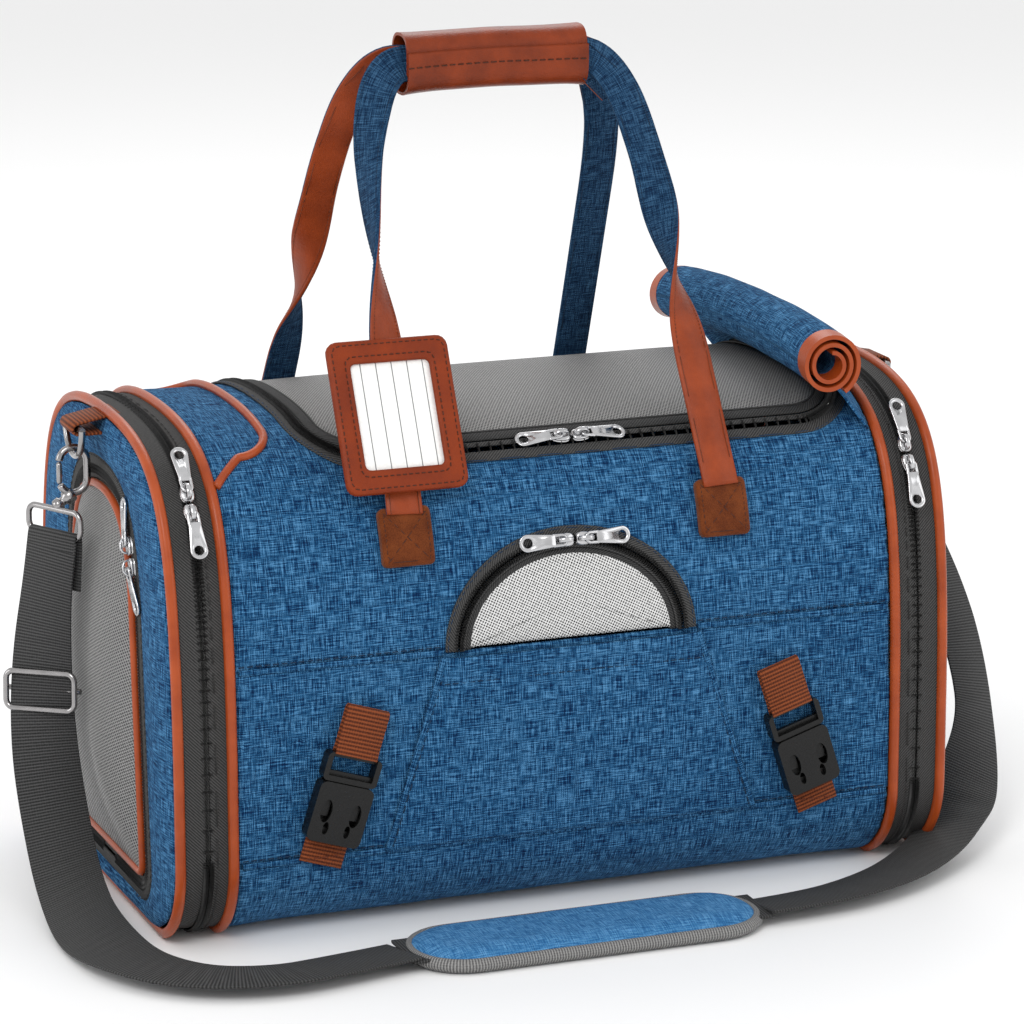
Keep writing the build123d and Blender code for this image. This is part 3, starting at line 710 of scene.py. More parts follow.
def hoop_band(name, low_x, high_x, inset, lift, material):
    """A band round the bag between two places along X, a little slack between its seams."""
    loops = []
    for share in np.linspace(0, 1, 7):
        slack = 0.5 * MM * math.sin(math.pi * share)
        loops.append(across_x(low_x + (high_x - low_x) * share, section(inset + slack, lift)))
    line = section(inset, lift)
    girth = np.concatenate([[0], np.cumsum(np.linalg.norm(np.diff(line, axis=0), axis=1))])
    made = skin(name, loops, material)
    layer = made.data.uv_layers.new(name="UVMap")
    count, high = len(line), len(loops)
    for polygon in made.data.polygons:
        ring, step = divmod(polygon.index, count)
        after = girth[step + 1] if step + 1 < count else girth[-1] + girth[1]
        rows = ((ring, girth[step]), (ring, after), (ring + 1, after), (ring + 1, girth[step]))
        for loop, (r, s) in zip(polygon.loop_indices, rows):
            layer.data[loop].uv = (s, abs(high_x - low_x) * r / (high - 1))
    return thicken(made, TAPE_THICKNESS, offset=-1.0 if high_x < low_x else 1.0)


def on_lines(lines, place, out):
    """Points and outward directions of a 2-D line carried onto the bag."""
    pairs = [place(a, b, out) for a, b in lines]
    return [p for p, _ in pairs], [n for _, n in pairs]


def expansion_zip(word, side, paints):
    """The two bands between an end's pipings, and the coil between them."""
    inner, outer, coil = side * (RING_IN + 1 * MM), side * (END_X - 2 * MM), side * COIL_X
    fixed = hoop_band(f"{word}_inner_tape", inner, coil - side * 1.6 * MM, 0.9 * MM, 0.2 * MM, paints["tape"])
    line = across_x(coil, section(0.9 * MM, 0.6 * MM, 400))
    chain = teeth(f"{word}_coil", line, outward_of(line), paints["coil"], closed=True)
    near = coil - side * 2.6 * MM
    edge = across_x((near * 3 + inner) / 4, section(0.75 * MM, 0.2 * MM, 400))
    sewn = stitches("sewn", edge, outward_of(edge), paints["grey_thread"], closed=True)
    fixed = joined(f"{word}_inner_tape", [fixed, chain, sewn])
    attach(fixed, "body")
    moving = hoop_band(f"{word}_outer_tape", coil + side * 1.6 * MM, outer, 0.9 * MM, 1.2 * MM,
                       paints["tape"])
    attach(moving, f"{word}_end")
    return fixed, moving


def accent_line():
    """The U of piping on the left shoulder, in plan, open towards the left end."""
    reach, half, turn, splay = 158 * MM, 86 * MM, 20 * MM, 15 * MM
    corner = [(math.cos(a), math.sin(a)) for a in np.linspace(0, math.pi / 2, 12)]
    front = [(-reach - turn + turn * c, -half + turn - turn * s) for c, s in corner]
    back = [(x, -y) for x, y in reversed(front)]
    return spaced([(-SHELL_X, -half - splay)] + front[::-1] + back[::-1] + [(-SHELL_X, half + splay)], 120)


def body_pipings(paints):
    made = [hoop_tube("piping_inner", side * RING_IN, PIPING / 2, 0.3 * MM, 0.0, paints["piping"])
            for side in (-1, 1)]
    line, outward = on_lines(accent_line(), on_crown, 0.6 * MM)
    made.append(sweep("accent", line, outward, disc(2.4 * MM), paints["piping"]))
    piping = joined("body_piping_cord", made)
    stand_in(piping, "body_piping")


# ---------- doors, window and pocket ----------

def border(name, line, place, width, out, thickness, material, closed=False):
    points, outward = on_lines(line, place, out)
    return sweep(name, points, outward, flat(width, thickness), material, closed=closed)


def sewn_along(line, place, out, thread, closed=False):
    """A row of stitches along a 2-D line carried onto the bag."""
    points, outward = on_lines(line, place, out)
    return stitches("sewn", points, outward, thread, closed=closed)


def chain_along(line, place, out, paint):
    """A zip's coil along a 2-D line carried onto the bag."""
    points, outward = on_lines(line, place, out)
    return teeth("chain", points, outward, paint)


def shrunk(line, share, centre):
    return [(centre[0] + (a - centre[0]) * share, centre[1] + (b - centre[1]) * share) for a, b in line]


def dome(name, line, centre, place, height, material, rings=14, uv=None):
    """A skin inside a closed outline that swells outwards by height in the middle."""
    loops = []
    for ring in range(rings):
        share = 1 - ring / rings
        rise = height * (1 - share ** 2.4)
        loops.append([place(a, b, rise)[0] for a, b in shrunk(line, share, centre)])
    return skin(name, loops, material, centre=True, uv=uv)


def top_lid(paints):
    middle = ((TOP_X[0] + TOP_X[1]) / 2, 0.0)
    net = dome("net", top_outline(7 * MM), middle, lambda x, y, o: on_crown(x, y, o - 0.9 * MM), 1.2 * MM,
               paints["mesh"], uv=lambda p: (p.x, p.y * 1.15))
    net = thicken(net, 0.9 * MM)
    edge = border("edge", top_outline(8.5 * MM), on_crown, 6 * MM, -0.9 * MM, 1.6 * MM, paints["binding"],
                  closed=True)
    inner = border("hem", top_outline(12.2 * MM), on_crown, 1.2 * MM, -0.4 * MM, 1.0 * MM,
                   paints["grey_thread"], closed=True)
    lid = joined("top_lid", [net, edge, inner])
    stand_in(lid, "top_door")
    tape = border("tape", top_zip(-3.4 * MM), on_crown, 6.4 * MM, -0.6 * MM, 1.3 * MM, paints["tape"])
    inside = border("tape_inside", top_zip(3.6 * MM), on_crown, 3.4 * MM, -0.8 * MM, 1.1 * MM, paints["tape"])
    chain = chain_along(top_zip(1.2 * MM), on_crown, 0.5 * MM, paints["coil"])
    sewn = sewn_along(top_zip(-5.4 * MM), on_crown, 0.6 * MM, paints["blue_thread"])
    back = border("back_hem", [(TOP_X[0] - 4 * MM, TOP_Y - 1 * MM), (TOP_X[1] + 4 * MM, TOP_Y - 1 * MM)],
                  on_crown,
                  9 * MM, -0.4 * MM, 1.4 * MM, paints["binding"])
    return [tape, inside, chain, sewn, back]


def window(paints):
    arch = window_arch(6.2 * MM)
    outline = spaced(arch + [(WINDOW_HALF - 8 * MM, WINDOW_SILL + 1.5 * MM),
                             (8 * MM - WINDOW_HALF, WINDOW_SILL + 1.5 * MM)],
                     160, True)
    net = dome("net", outline,
               (0.0, WINDOW_SILL + 0.4 * WINDOW_RISE), lambda x, z, o: on_side(x, z, o - 1.6 * MM),
               1.5 * MM, paints["window_mesh"], uv=lambda p: (p.x, p.z))
    net = thicken(net, 0.7 * MM)
    edge = border("edge", window_arch(6.9 * MM), on_side, 3.0 * MM, -1.6 * MM, 1.2 * MM, paints["binding"])
    flap = joined("window_net", [net, edge])
    stand_in(flap, "window_flap")
    tape = border("tape", window_arch(-3.2 * MM), on_side, 7.0 * MM, -0.5 * MM, 1.3 * MM, paints["tape"])
    inside = border("tape_inside", window_arch(3.6 * MM), on_side, 3.4 * MM, -0.9 * MM, 1.1 * MM,
                    paints["tape"])
    chain = chain_along(window_arch(1.0 * MM, 160), on_side, 0.4 * MM, paints["coil"])
    sewn = sewn_along(window_arch(-5.4 * MM), on_side, 0.7 * MM, paints["blue_thread"])
    return [tape, inside, chain, sewn]


def fixed_tapes(paints):
    moving = {}
    for word, side in ENDS:
        fixed, moving[word] = expansion_zip(word, side, paints)
    tape = joined("door_tapes", top_lid(paints) + window(paints))
    stand_in(tape, "zip_tapes")
    return moving


def seams(paints):
    """The folded seams along both sides: a narrow ridge of canvas, with a row of stitches over it."""
    ring = RING_IN - 5 * MM
    mouth, foot = POCKET_HALF
    made = []
    for z, side, low, high in ((WINDOW_SILL, -1, -ring, -mouth), (WINDOW_SILL, -1, mouth, ring),
                               (WINDOW_SILL, 1, -ring, ring),
                               (POCKET_FOOT, -1, -ring, ring), (POCKET_FOOT, 1, -ring, ring)):
        xs = np.linspace(low, high, 60)

        def place(x, height, out):
            return on_side(x, height, out, side)

        points, outward = on_lines([(x, z) for x in xs], place, 0.0)
        made.append(sweep("ridge", points, outward, flat(3.4 * MM, 1.5 * MM, -0.8 * MM, 0.5 * MM),
                          paints["canvas"]))
        made.append(sewn_along([(x, z + 3.2 * MM) for x in xs], place, 0.1 * MM, paints["blue_thread"]))
    for way in (-1, 1):
        line = [(way * (foot + (mouth - foot) * s), POCKET_FOOT + (POCKET_TOP - POCKET_FOOT) * s)
                for s in np.linspace(0, 1, 50)]
        points, outward = on_lines(line, on_side, 0.5 * MM)
        made.append(sweep("ridge", points, outward, flat(3.2 * MM, 2.4 * MM, -1.0 * MM, 0.7 * MM),
                          paints["canvas"]))
    folded = joined("side_seams", made)
    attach(folded, "body")


def pocket(paints):
    """A patch pocket, sewn at its slanted sides and along its foot, its mouth a little open."""
    mouth, foot = POCKET_HALF
    columns, rows = 90, 60
    hem_z = POCKET_TOP - 14 * MM
    loops = []
    for i in range(rows + 1):
        rise = i / rows
        z = POCKET_FOOT + (POCKET_TOP - POCKET_FOOT) * rise
        half = foot + (mouth - foot) * rise
        loop = []
        for j in range(columns + 1):
            across = 2 * j / columns - 1
            hold = (1 - abs(across) ** 10) * (1 - (1 - rise) ** 12)
            slack = noise.noise(Vector((across * 3.2, rise * 4.0, 3.0))) * 0.6
            slack += noise.noise(Vector((across * 9, rise * 3, 8)))
            out = 1.0 * MM + hold * (1.6 + 2.6 * rise + 0.7 * slack) * MM
            out -= 0.7 * MM * math.exp(-((z - hem_z) / SEAM_WIDTH) ** 2)
            loop.append(on_side(across * half, z, out)[0])
        loops.append(loop)
    cloth = skin("pocket", loops, paints["canvas"], closed=False, uv=lambda p: (p.x, p.z * 1.02 + 0.4))
    cloth = thicken(cloth, 1.3 * MM, offset=-1.0)
    sewn = []
    for side in (-1, 1):
        line = [(side * (foot - 2.2 * MM + (mouth - foot) * s), POCKET_FOOT + (POCKET_TOP - POCKET_FOOT) * s)
                for s in np.linspace(0.02, 1, 40)]
        sewn.append(sewn_along(line, on_side, 1.5 * MM, paints["blue_thread"]))
    line = [(x, hem_z) for x in np.linspace(-mouth - 1 * MM, mouth + 1 * MM, 60)]
    sewn.append(sewn_along(line, on_side, 3.9 * MM, paints["blue_thread"]))
    made = joined("pocket_cloth", [cloth] + sewn)
    stand_in(made, "front_pocket")


# ---------- the two ends ----------

def end_face(word, side, tape, paints):
    """The blue panel, its piping, the door's zip and the bulging mesh door."""
    def place(y, z, out):
        return Vector((side * (END_X + out), y, z)), Vector((side, 0, 0))

    count = 240
    outer, inner = section(4.5 * MM, 1 * MM, count), door_outline(7 * MM, count)
    loops = []
    for share in np.linspace(0, 1, 12):
        line = outer * (1 - share) + inner * share
        swell = 2.6 * MM * math.sin(math.pi * min(share * 1.1, 1))
        loop = []
        for y, z in line:
            crease = 0.7 * MM * noise.noise(Vector((y * 24, z * 14, side * 5.0)))
            loop.append(place(y, z, 0.5 * MM + swell + crease * math.sin(math.pi * share))[0])
        loops.append(loop)
    cloth = skin(f"{word}_end_cloth", loops, paints["canvas"], uv=lambda p: (p.y, p.z))
    stand_in(thicken(cloth, 2.0 * MM, offset=1.0 if side < 0 else -1.0), f"{word}_end_panel")
    piping = hoop_tube(f"{word}_outer_piping", side * END_X, PIPING / 2, 1.0 * MM, 1.0 * MM, paints["piping"])
    stand_in(piping, f"{word}_end_piping")
    rim = border("rim", door_outline(4.4 * MM), place, 8.4 * MM, 1.2 * MM, 1.4 * MM, paints["tape"],
                 closed=True)
    lining = border("lining", door_outline(-3.4 * MM), place, 4.6 * MM, 0.4 * MM, 1.2 * MM, paints["tape"],
                    closed=True)
    chain = chain_along(spaced(door_zip(), 300), place, 1.8 * MM, paints["coil"])
    sewn = sewn_along(door_outline(7.4 * MM), place, 2.7 * MM, paints["grey_thread"], closed=True)
    zip_ring = joined(f"{word}_door_tape", [tape, rim, lining, chain, sewn])
    stand_in(zip_ring, f"{word}_end_zip_tapes")

    def leaf(y, z, out):
        return place(y, max(z, DOOR_SILL + 2 * MM), 0.6 * MM + out)

    inside = door_outline(-6.4 * MM)
    net = dome("net", inside, (0.0, MIDDLE_Z), leaf, 17 * MM, paints["mesh"], 18, uv=lambda p: (p.y, p.z))
    net = thicken(net, 0.9 * MM, offset=1.0 if side < 0 else -1.0)
    line, outward = on_lines(door_outline(-8.2 * MM), leaf, 2.0 * MM)
    edge = sweep("edge", line, outward, disc(2.3 * MM), paints["piping"], closed=True)
    door = joined(f"{word}_door_net", [net, edge])
    stand_in(door, f"{word}_door")


def gusset(word, side, paints):
    """The mesh tunnel folded behind the zip. It stays where it is built and does not open out as the end
    slides.
    """
    start, end = SHELL_X + 1 * MM, END_X - 4 * MM
    steps = 40
    loops = []
    for i in range(steps + 1):
        share = i / steps
        fold = 1.4 * MM * math.cos(share * math.pi * 8)
        loops.append(across_x(side * (start + (end - start) * share), section(6 * MM + fold, 1 * MM, 160)))
    tunnel = skin(f"{word}_tunnel", loops, paints["mesh"],
                  uv=lambda p: (math.atan2(p.y, p.z - MIDDLE_Z) * 0.14, abs(p.x) * 3))
    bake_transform(tunnel)
    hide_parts(f"{word}_gusset")


def ring_tab(word, side, paints):
    """Webbing that comes over the end's crown, round the ring's bar and back."""
    low, high = corners(f"{word}_ring_tab")
    bar = Vector((side * 246 * MM, 0, 271 * MM))
    reach, wrap = 4.0 * MM, 3.2 * MM
    line = [(END_X - 6 * MM, high.z + 3.6 * MM), (END_X + 4 * MM, high.z + 2.4 * MM)]
    line += [(abs(bar.x) + reach * math.sin(a), bar.z + wrap * math.cos(a))
             for a in np.linspace(0, math.pi, 9)]
    line += [(END_X + 3 * MM, low.z + 0.5 * MM)]
    points = [Vector((side * x, 0, z)) for x, z in spaced(line, 60)]
    ways = tangents(points, False)
    outward = [Vector((-w.z * side, 0, w.x * side)) for w in ways]
    tab = sweep(f"{word}_tab_webbing", points, outward, flat(WEBBING, 1.5 * MM, -0.75 * MM),
                paints["tan_webbing"])
    stand_in(tab, f"{word}_ring_tab")


# ---------- buckles, patches, handles and tag ----------

def buckle_axes(word, side):
    """Along the buckle's webbing from the seam upwards, across it and out of the bag, with the start."""
    joint = next(j for j in frame["joints"] if j["name"] == f"{word}_buckle_slide")
    along = Vector(joint["axis"]).normalized()
    return Vector((side * BUCKLE_X, -HALF_WIDTH - 0.3 * MM, POCKET_FOOT)), along, Vector((0, -1, 0))


def buckle_webbing(paints):
    anchors = []
    for word, side in ENDS:
        start, along, out = buckle_axes(word, side)
        line = [start + along * a * MM + out * 0.4 * MM for a in np.linspace(-3, 16, 12)]
        strip = sweep("anchor", line, [out] * 12, flat(WEBBING, 1.8 * MM), paints["tan_webbing"])
        edge = [start + along * 1.5 * MM + Vector((s, 0, 0)) + out * 2.4 * MM
                for s in np.linspace(-10 * MM, 10 * MM, 8)]
        anchors += [strip, stitches("sewn", edge, [out] * 8, paints["tan_thread"])]
        low, high, top = 1.2, 5.6, 86.0
        turn = [(top + (high - low) / 2 * math.sin(a), (low + high) / 2 - (high - low) / 2 * math.cos(a))
                for a in np.linspace(0, math.pi, 10)]
        path = [(a, o + 0.8) for a, o in [(60.5, 7.0)] + [(66, 6.0)] + turn[::-1] + [(66, 2.0), (60.5, 1.2)]]
        path = spaced(path, 60)
        line = [start + along * a * MM + out * o * MM for a, o in path]
        ways = tangents(line, False)
        outward = [w.cross(along.cross(out)) for w in ways]
        loop = sweep(f"{word}_webbing_loop", line, outward, flat(WEBBING, 1.3 * MM, -0.65 * MM),
                     paints["tan_webbing"])
        stand_in(loop, f"{word}_buckle_loop")
    made = joined("anchor_webbing", anchors)
    stand_in(made, "buckle_anchor_straps")


PATCH, PATCH_X, PATCH_TOP = 30 * MM, 94 * MM, 236 * MM


def square_line(half, turn, count=80):
    line = []
    for quarter in range(4):
        for a in np.linspace(0, math.pi / 2, 6):
            x, y = half - turn + turn * math.cos(a), half - turn + turn * math.sin(a)
            for _ in range(quarter):
                x, y = -y, x
            line.append((x, y))
    return spaced(line, count, True)


def handle_patches(paints):
    made = []
    for y_side in (-1, 1):
        for x_side in (-1, 1):
            middle = (x_side * PATCH_X, PATCH_TOP - PATCH / 2)

            def place(a, b, out):
                return on_side(middle[0] + a, middle[1] + b, out, y_side)

            loops = []
            for share, out in ((1.0, 0.2), (1.0, 3.6), (0.97, 4.4), (0.9, 4.7), (0.6, 4.9), (0.25, 5.0)):
                loops.append([place(a * share, b * share, out * MM)[0]
                              for a, b in square_line(PATCH / 2, 3 * MM)])
            made.append(skin("patch", loops, paints["suede"], centre=True, uv=lambda p: (p.x, p.z)))
            inset = PATCH / 2 - 2.6 * MM
            box = square_line(inset, 0.8 * MM, 100)
            cross = [[(-inset, -inset), (inset, inset)], [(-inset, inset), (inset, -inset)]]
            for line, shut in ((box, True), (spaced(cross[0], 20), False), (spaced(cross[1], 20), False)):
                pairs = [place(a, b, 4.95 * MM - 0.3 * MM * (max(abs(a), abs(b)) / inset)) for a, b in line]
                made.append(stitches("sewn", [p for p, _ in pairs], [n for _, n in pairs],
                                     paints["brown_thread"], closed=shut))
    patches = joined("suede_patches", made)
    stand_in(patches, "handle_patches")


LEAN = math.radians(26.2)
HANDLE_FOOT = (118 * MM, 237.8 * MM)
HANDLE_RISE = 252 * MM
GRIP_HALF = 53 * MM


def in_handle(side, x, up, out=0.0):
    """A point in a handle's leaning plane; out is away from the bag."""
    y = HANDLE_FOOT[0] - up * math.sin(LEAN) + out * math.cos(LEAN)
    return Vector((x, side * y, HANDLE_FOOT[1] + up * math.cos(LEAN) + out * math.sin(LEAN)))


def handle_line():
    """A whole handle in its plane, from the left foot over the grip to the right foot."""
    knee, bend = PATCH_X - 8 * MM, 0.62 * HANDLE_RISE
    curve = ((knee, bend), (knee - 3 * MM, 0.85 * HANDLE_RISE), (GRIP_HALF + 20 * MM, HANDLE_RISE),
             (GRIP_HALF, HANDLE_RISE))
    leg = [(PATCH_X, -4 * MM), (PATCH_X - 4 * MM, bend / 2)]
    leg += [bezier(curve, t) for t in np.linspace(0, 1, 16)]
    return spaced([(-x, up) for x, up in leg] + [(x, up) for x, up in reversed(leg)], 240)


def handle(side, name, turns, paints):
    """A strap of canvas and leather. turns are (share of its length, degrees) from the left foot."""
    line = handle_line()
    points = [in_handle(side, x, up) for x, up in line]
    shares = np.linspace(0, 1, len(points))
    angles = np.interp(shares, [s for s, _ in turns], [math.radians(d) for _, d in turns])
    angles = smoothed(angles, 6)
    away = Vector((0, side * math.cos(LEAN), math.sin(LEAN)))
    ways = tangents(points, False)
    outward = [Matrix.Rotation(angle, 3, way) @ away for angle, way in zip(angles, ways)]
    width = 21 * MM
    points = [p + Vector((0, side * 2.0 * MM * min(1, max(0, (abs(p.z) - 0.42) / 0.02)), 0)) for p in points]
    shape = flat(width, 2.6 * MM, -1.3 * MM)
    strap = sweep(name, points, outward, shape, [paints["strap_leather"], paints["handle_canvas"]],
                  sides=[1, 1, 1, 0, 0, 0, 0, 1])
    rows = [strap]
    for edge in (-1, 1):
        for face, thread in ((1, paints["tan_thread"]), (-1, paints["blue_thread"])):
            row = [p + w.cross(o).normalized() * edge * (width / 2 - 2.2 * MM) + o * face * 1.35 * MM
                   for p, w, o in zip(points, ways, outward)]
            rows.append(stitches("sewn", row, [o * face for o in outward], thread, 2.6 * MM, 1.4 * MM,
                                 0.28 * MM))
    made = joined(name, rows)
    stand_in(made, "front_handle" if side < 0 else "back_handle")


def rolled_rim(loop, count, flip, material):
    """Closes an end of a rolled sheet. Its loop has count points out along one face and as many back."""
    faces = [(i, i + 1, 2 * count - 2 - i, 2 * count - 1 - i)[::flip] for i in range(count - 1)]
    return mesh_object("rim", loop, faces, None, None, [material])


def grip(paints):
    """The leather cover folded round both straps, its flap's sewn edge along the front."""
    low, high = corners("grip_wrap")
    middle = Vector((0, (low.y + high.y) / 2, (low.z + high.z) / 2))
    half_z, half_y = (high.z - low.z) / 2 - 0.5 * MM, (high.y - low.y) / 2 + 2 * MM
    outer, inner = [], []
    for turn in np.linspace(0, 1, 90):
        angle = math.radians(-168 - 384 * turn)
        rise = 2.2 * MM * turn
        y = math.copysign(abs(math.cos(angle)) ** 0.75, math.cos(angle))
        z = math.copysign(abs(math.sin(angle)) ** 0.62, math.sin(angle))
        outer.append((y * (half_y - 2 * MM + rise), z * (half_z - 2 * MM + rise)))
        inner.append((y * (half_y - 3.6 * MM + rise), z * (half_z - 3.6 * MM + rise)))
    shape = outer + inner[::-1]
    loops, long = [], GRIP_HALF + 1 * MM
    for x in np.linspace(-long, long, 40):
        flare = 1 + 0.05 * (abs(x) / long) ** 6
        sag = 1.2 * MM * math.cos(x / long * math.pi / 2)
        dent = 0.5 * MM * noise.noise(Vector((x * 30, 0, 4)))
        loops.append([middle + Vector((x, a * flare, b * flare + sag + dent)) for a, b in shape])
    cover = skin("cover", loops, paints["grip_leather"], uv=lambda p: (p.x, p.z))
    rows = [cover]
    rows += [rolled_rim(loops[i], len(outer), flip, paints["grip_leather"]) for i, flip in ((0, 1), (-1, -1))]
    edge = len(outer) - 4
    line = [loop[edge] for loop in loops]
    away = Vector((0, -1, 0.1))
    rows.append(stitches("sewn", [p + away * 0.3 * MM for p in line], [away] * len(line),
                         paints["brown_thread"]))
    made = joined("grip_cover", rows)
    stand_in(made, "grip_wrap")


def rounded(width, height, turn, count=120):
    line = []
    for sx, sy, start in ((1, 1, 0), (-1, 1, 90), (-1, -1, 180), (1, -1, 270)):
        for a in np.linspace(start, start + 90, 7):
            a = math.radians(a)
            x, y = sx * (width / 2 - turn), sy * (height / 2 - turn)
            line.append((x + turn * math.cos(a), y + turn * math.sin(a)))
    return spaced(line, count, True)


def tag(paints):
    """A leather frame with two rows of stitching round a clear window, hung from the front-left leg."""
    width, height, thick = 70 * MM, 86 * MM, 4 * MM
    centre = in_handle(-1, -PATCH_X + 2 * MM, 50 * MM, 5.1 * MM)
    right, up = Vector((1, 0, 0)), (in_handle(-1, 0, 1) - in_handle(-1, 0, 0)).normalized()
    out = right.cross(up)

    def place(a, b, rise):
        return centre + right * a + up * b + out * rise

    def ring(line, rise):
        return [place(a, b, rise) for a, b in line]

    opening = (width - 24 * MM, height - 26 * MM, 3 * MM)
    edge, hole = rounded(width, height, 6 * MM), rounded(*opening)
    back = rounded(opening[0] + 4 * MM, opening[1] + 4 * MM, 3 * MM)
    loops = [ring(edge, 0.5 * MM), ring(edge, thick - 0.8 * MM),
             ring(rounded(width - 1.4 * MM, height - 1.4 * MM, 6 * MM), thick),
             ring(rounded(width - 5 * MM, height - 5 * MM, 5 * MM), thick + 0.35 * MM),
             ring(rounded(opening[0] + 3 * MM, opening[1] + 3 * MM, 4 * MM), thick + 0.2 * MM),
             ring(hole, thick - 0.2 * MM),
             ring(hole, 1.9 * MM), ring(back, 1.8 * MM)]
    frame_part = skin("frame", loops, paints["tag_leather"])
    plate = skin("plate", [ring(edge, 0.5 * MM), ring(rounded(width * 0.9, height * 0.9, 4 * MM), 0.1 * MM)],
                 paints["tag_leather"], centre=True)
    rows = [frame_part, plate]
    for inset in (2.6 * MM, 9.2 * MM):
        line = ring(rounded(width - 2 * inset, height - 2 * inset, 4 * MM, 300), thick + 0.35 * MM)
        rows.append(stitches("sewn", line, [out] * len(line), paints["brown_thread"], 2.2 * MM, 1.4 * MM,
                             0.33 * MM, True))
    holder = joined("tag_frame", rows)
    stand_in(holder, "tag_holder")
    card_edge = rounded(opening[0] + 3.4 * MM, opening[1] + 3.4 * MM, 2 * MM)
    card = skin("card_sheet",
                [ring(card_edge, 1.9 * MM), ring([(a * 0.98, b * 0.98) for a, b in card_edge], 2.2 * MM)],
                paints["card"], centre=True, uv=lambda p: ((p - centre).dot(right) + 0.1,
                                                           (p - centre).dot(up)))
    stand_in(card, "tag_card")
    hang = in_handle(-1, -PATCH_X + 3 * MM, 86 * MM)
    loop = [hang + right * a + out * b for a, b in rounded(27 * MM, 8.4 * MM, 3 * MM, 60)]
    ways = tangents(loop, True)
    keeper = sweep("keeper_loop", loop, [w.cross(up) for w in ways], flat(9 * MM, 1.4 * MM, -0.7 * MM),
                   paints["tag_leather"], closed=True)
    stand_in(keeper, "tag_keeper")


def rolled_flap(paints):
    """The cover rolled up across the crown, bound at its ends, its tail sewn in by the right piping."""
    low, high = corners("privacy_flap")
    radius, x = (high.x - low.x) / 2 - 1 * MM, (low.x + high.x) / 2
    half = high.y - 2 * MM
    turns, wall = 2.4, 2.1 * MM
    outer, inner = [], []
    for t in np.linspace(0, 1, 130):
        angle = math.radians(-60) + t * turns * 2 * math.pi
        r = radius - t * (radius - 8.2 * MM)
        outer.append((r * math.cos(angle), r * math.sin(angle)))
        inner.append(((r - wall) * math.cos(angle), (r - wall) * math.sin(angle)))

    def along(y):
        drop = (HALF_WIDTH - math.sqrt(max(HALF_WIDTH ** 2 - y * y, 0))) * 0.11
        return Vector((x, y, high.z - radius - 1.5 * MM - drop))

    def roll(name, start, end, grow, material, count):
        shape = [(a * grow, b * grow) for a, b in outer] + [(a / grow, b / grow) for a, b in inner[::-1]]
        loops = []
        for y in np.linspace(start, end, count):
            middle = along(y)
            squeeze = 1 + 0.025 * noise.noise(Vector((y * 30, 2, 7)))
            loops.append([middle + Vector((a * squeeze, 0, b * squeeze)) for a, b in shape])
        cloth = skin(name, loops, material,
                     uv=lambda p: (p.y, math.atan2(p.z - along(p.y).z, p.x - x) * radius))
        return [cloth] + [rolled_rim(loops[i], len(outer), flip, material) for i, flip in ((0, -1), (-1, 1))]

    band = 10 * MM
    made = roll("cloth", -half + band, half - band, 1.0, paints["canvas"], 50)
    for start, end in ((-half, -half + band), (half - band, half)):
        made += roll("binding", start, end, 1.012, paints["piping"], 4)
    tail = []
    for share in np.linspace(0, 1, 10):
        row = []
        for y in np.linspace(-half + 12 * MM, half - 12 * MM, 40):
            start = along(y) + Vector((radius * 0.5, 0, -radius * 0.86))
            end = on_crown(SHELL_X - 2 * MM, y, 1.2 * MM)[0]
            point = start.lerp(end, share)
            point.z = max(point.z, on_crown(point.x, y, 1.0 * MM)[0].z)
            row.append(point)
        tail.append(row)
    made.append(thicken(skin("tail", tail, paints["canvas"], closed=False, uv=lambda p: (p.y, p.x)),
                        1.2 * MM, 1.0))
    cover = joined("rolled_cover", made)
    stand_in(cover, "privacy_flap")


# ---------- pads and the shoulder strap ----------

def shoulder_pad(paints):
    """A long padded oval of canvas, bound in grey round its edge."""
    low, high = corners("shoulder_pad")
    middle = (low + high) / 2
    length, width, thick = high.x - low.x, high.y - low.y, high.z - low.z

    def ring(inset, z):
        line = rounded(length - 2 * inset, width - 2 * inset, min(width, length) / 2 - inset - 1 * MM, 160)
        return [Vector((middle.x + a, middle.y + b, z)) for a, b in line]

    loops = [ring(10 * MM, low.z + 0.5 * MM), ring(4 * MM, low.z + 1.5 * MM)]
    for share in np.linspace(0, 1, 9):
        inset = 2.5 * MM + 17 * MM * share ** 1.6
        loops.append(ring(inset, low.z + thick * (0.34 + 0.66 * math.sin(share * math.pi / 2))))
    pad = skin("pad", loops, paints["pad_canvas"], centre=True, uv=lambda p: (p.x, p.y))
    for vertex in pad.data.vertices:
        fold = noise.noise(Vector((vertex.co.x * 40, vertex.co.y * 28, 2.0)))
        vertex.co.z += 0.7 * MM * fold * min(1, max(0, (vertex.co.z - low.z - 4 * MM) / (4 * MM)))
    inner = ring(9 * MM, low.z + thick * 0.72)
    sewn = stitches("sewn", inner, [UP] * len(inner), paints["grey_thread"], closed=True)
    edge = ring(3.6 * MM, low.z + 4.6 * MM)
    bind = sweep("binding", edge, [UP] * len(edge), flat(7.4 * MM, 7.2 * MM, -3.8 * MM, 2.6 * MM),
                 paints["pad_binding"],
                 closed=True)
    ends = []
    for x, way in ((low.x, 1), (high.x, -1)):
        line = [Vector((x + way * reach * MM, middle.y, 6.5 * MM)) for reach in (-2, 4, 10, 16)]
        ends.append(sweep("sleeve", line, [UP] * 4, flat(STRAP_WIDTH, 1.8 * MM, -0.9 * MM),
                          paints["grey_webbing"]))
    bind = joined("pad_edge", [bind] + ends)
    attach(bind, "body")
    made = joined("shoulder_cushion", [pad, sewn])
    stand_in(made, "shoulder_pad")


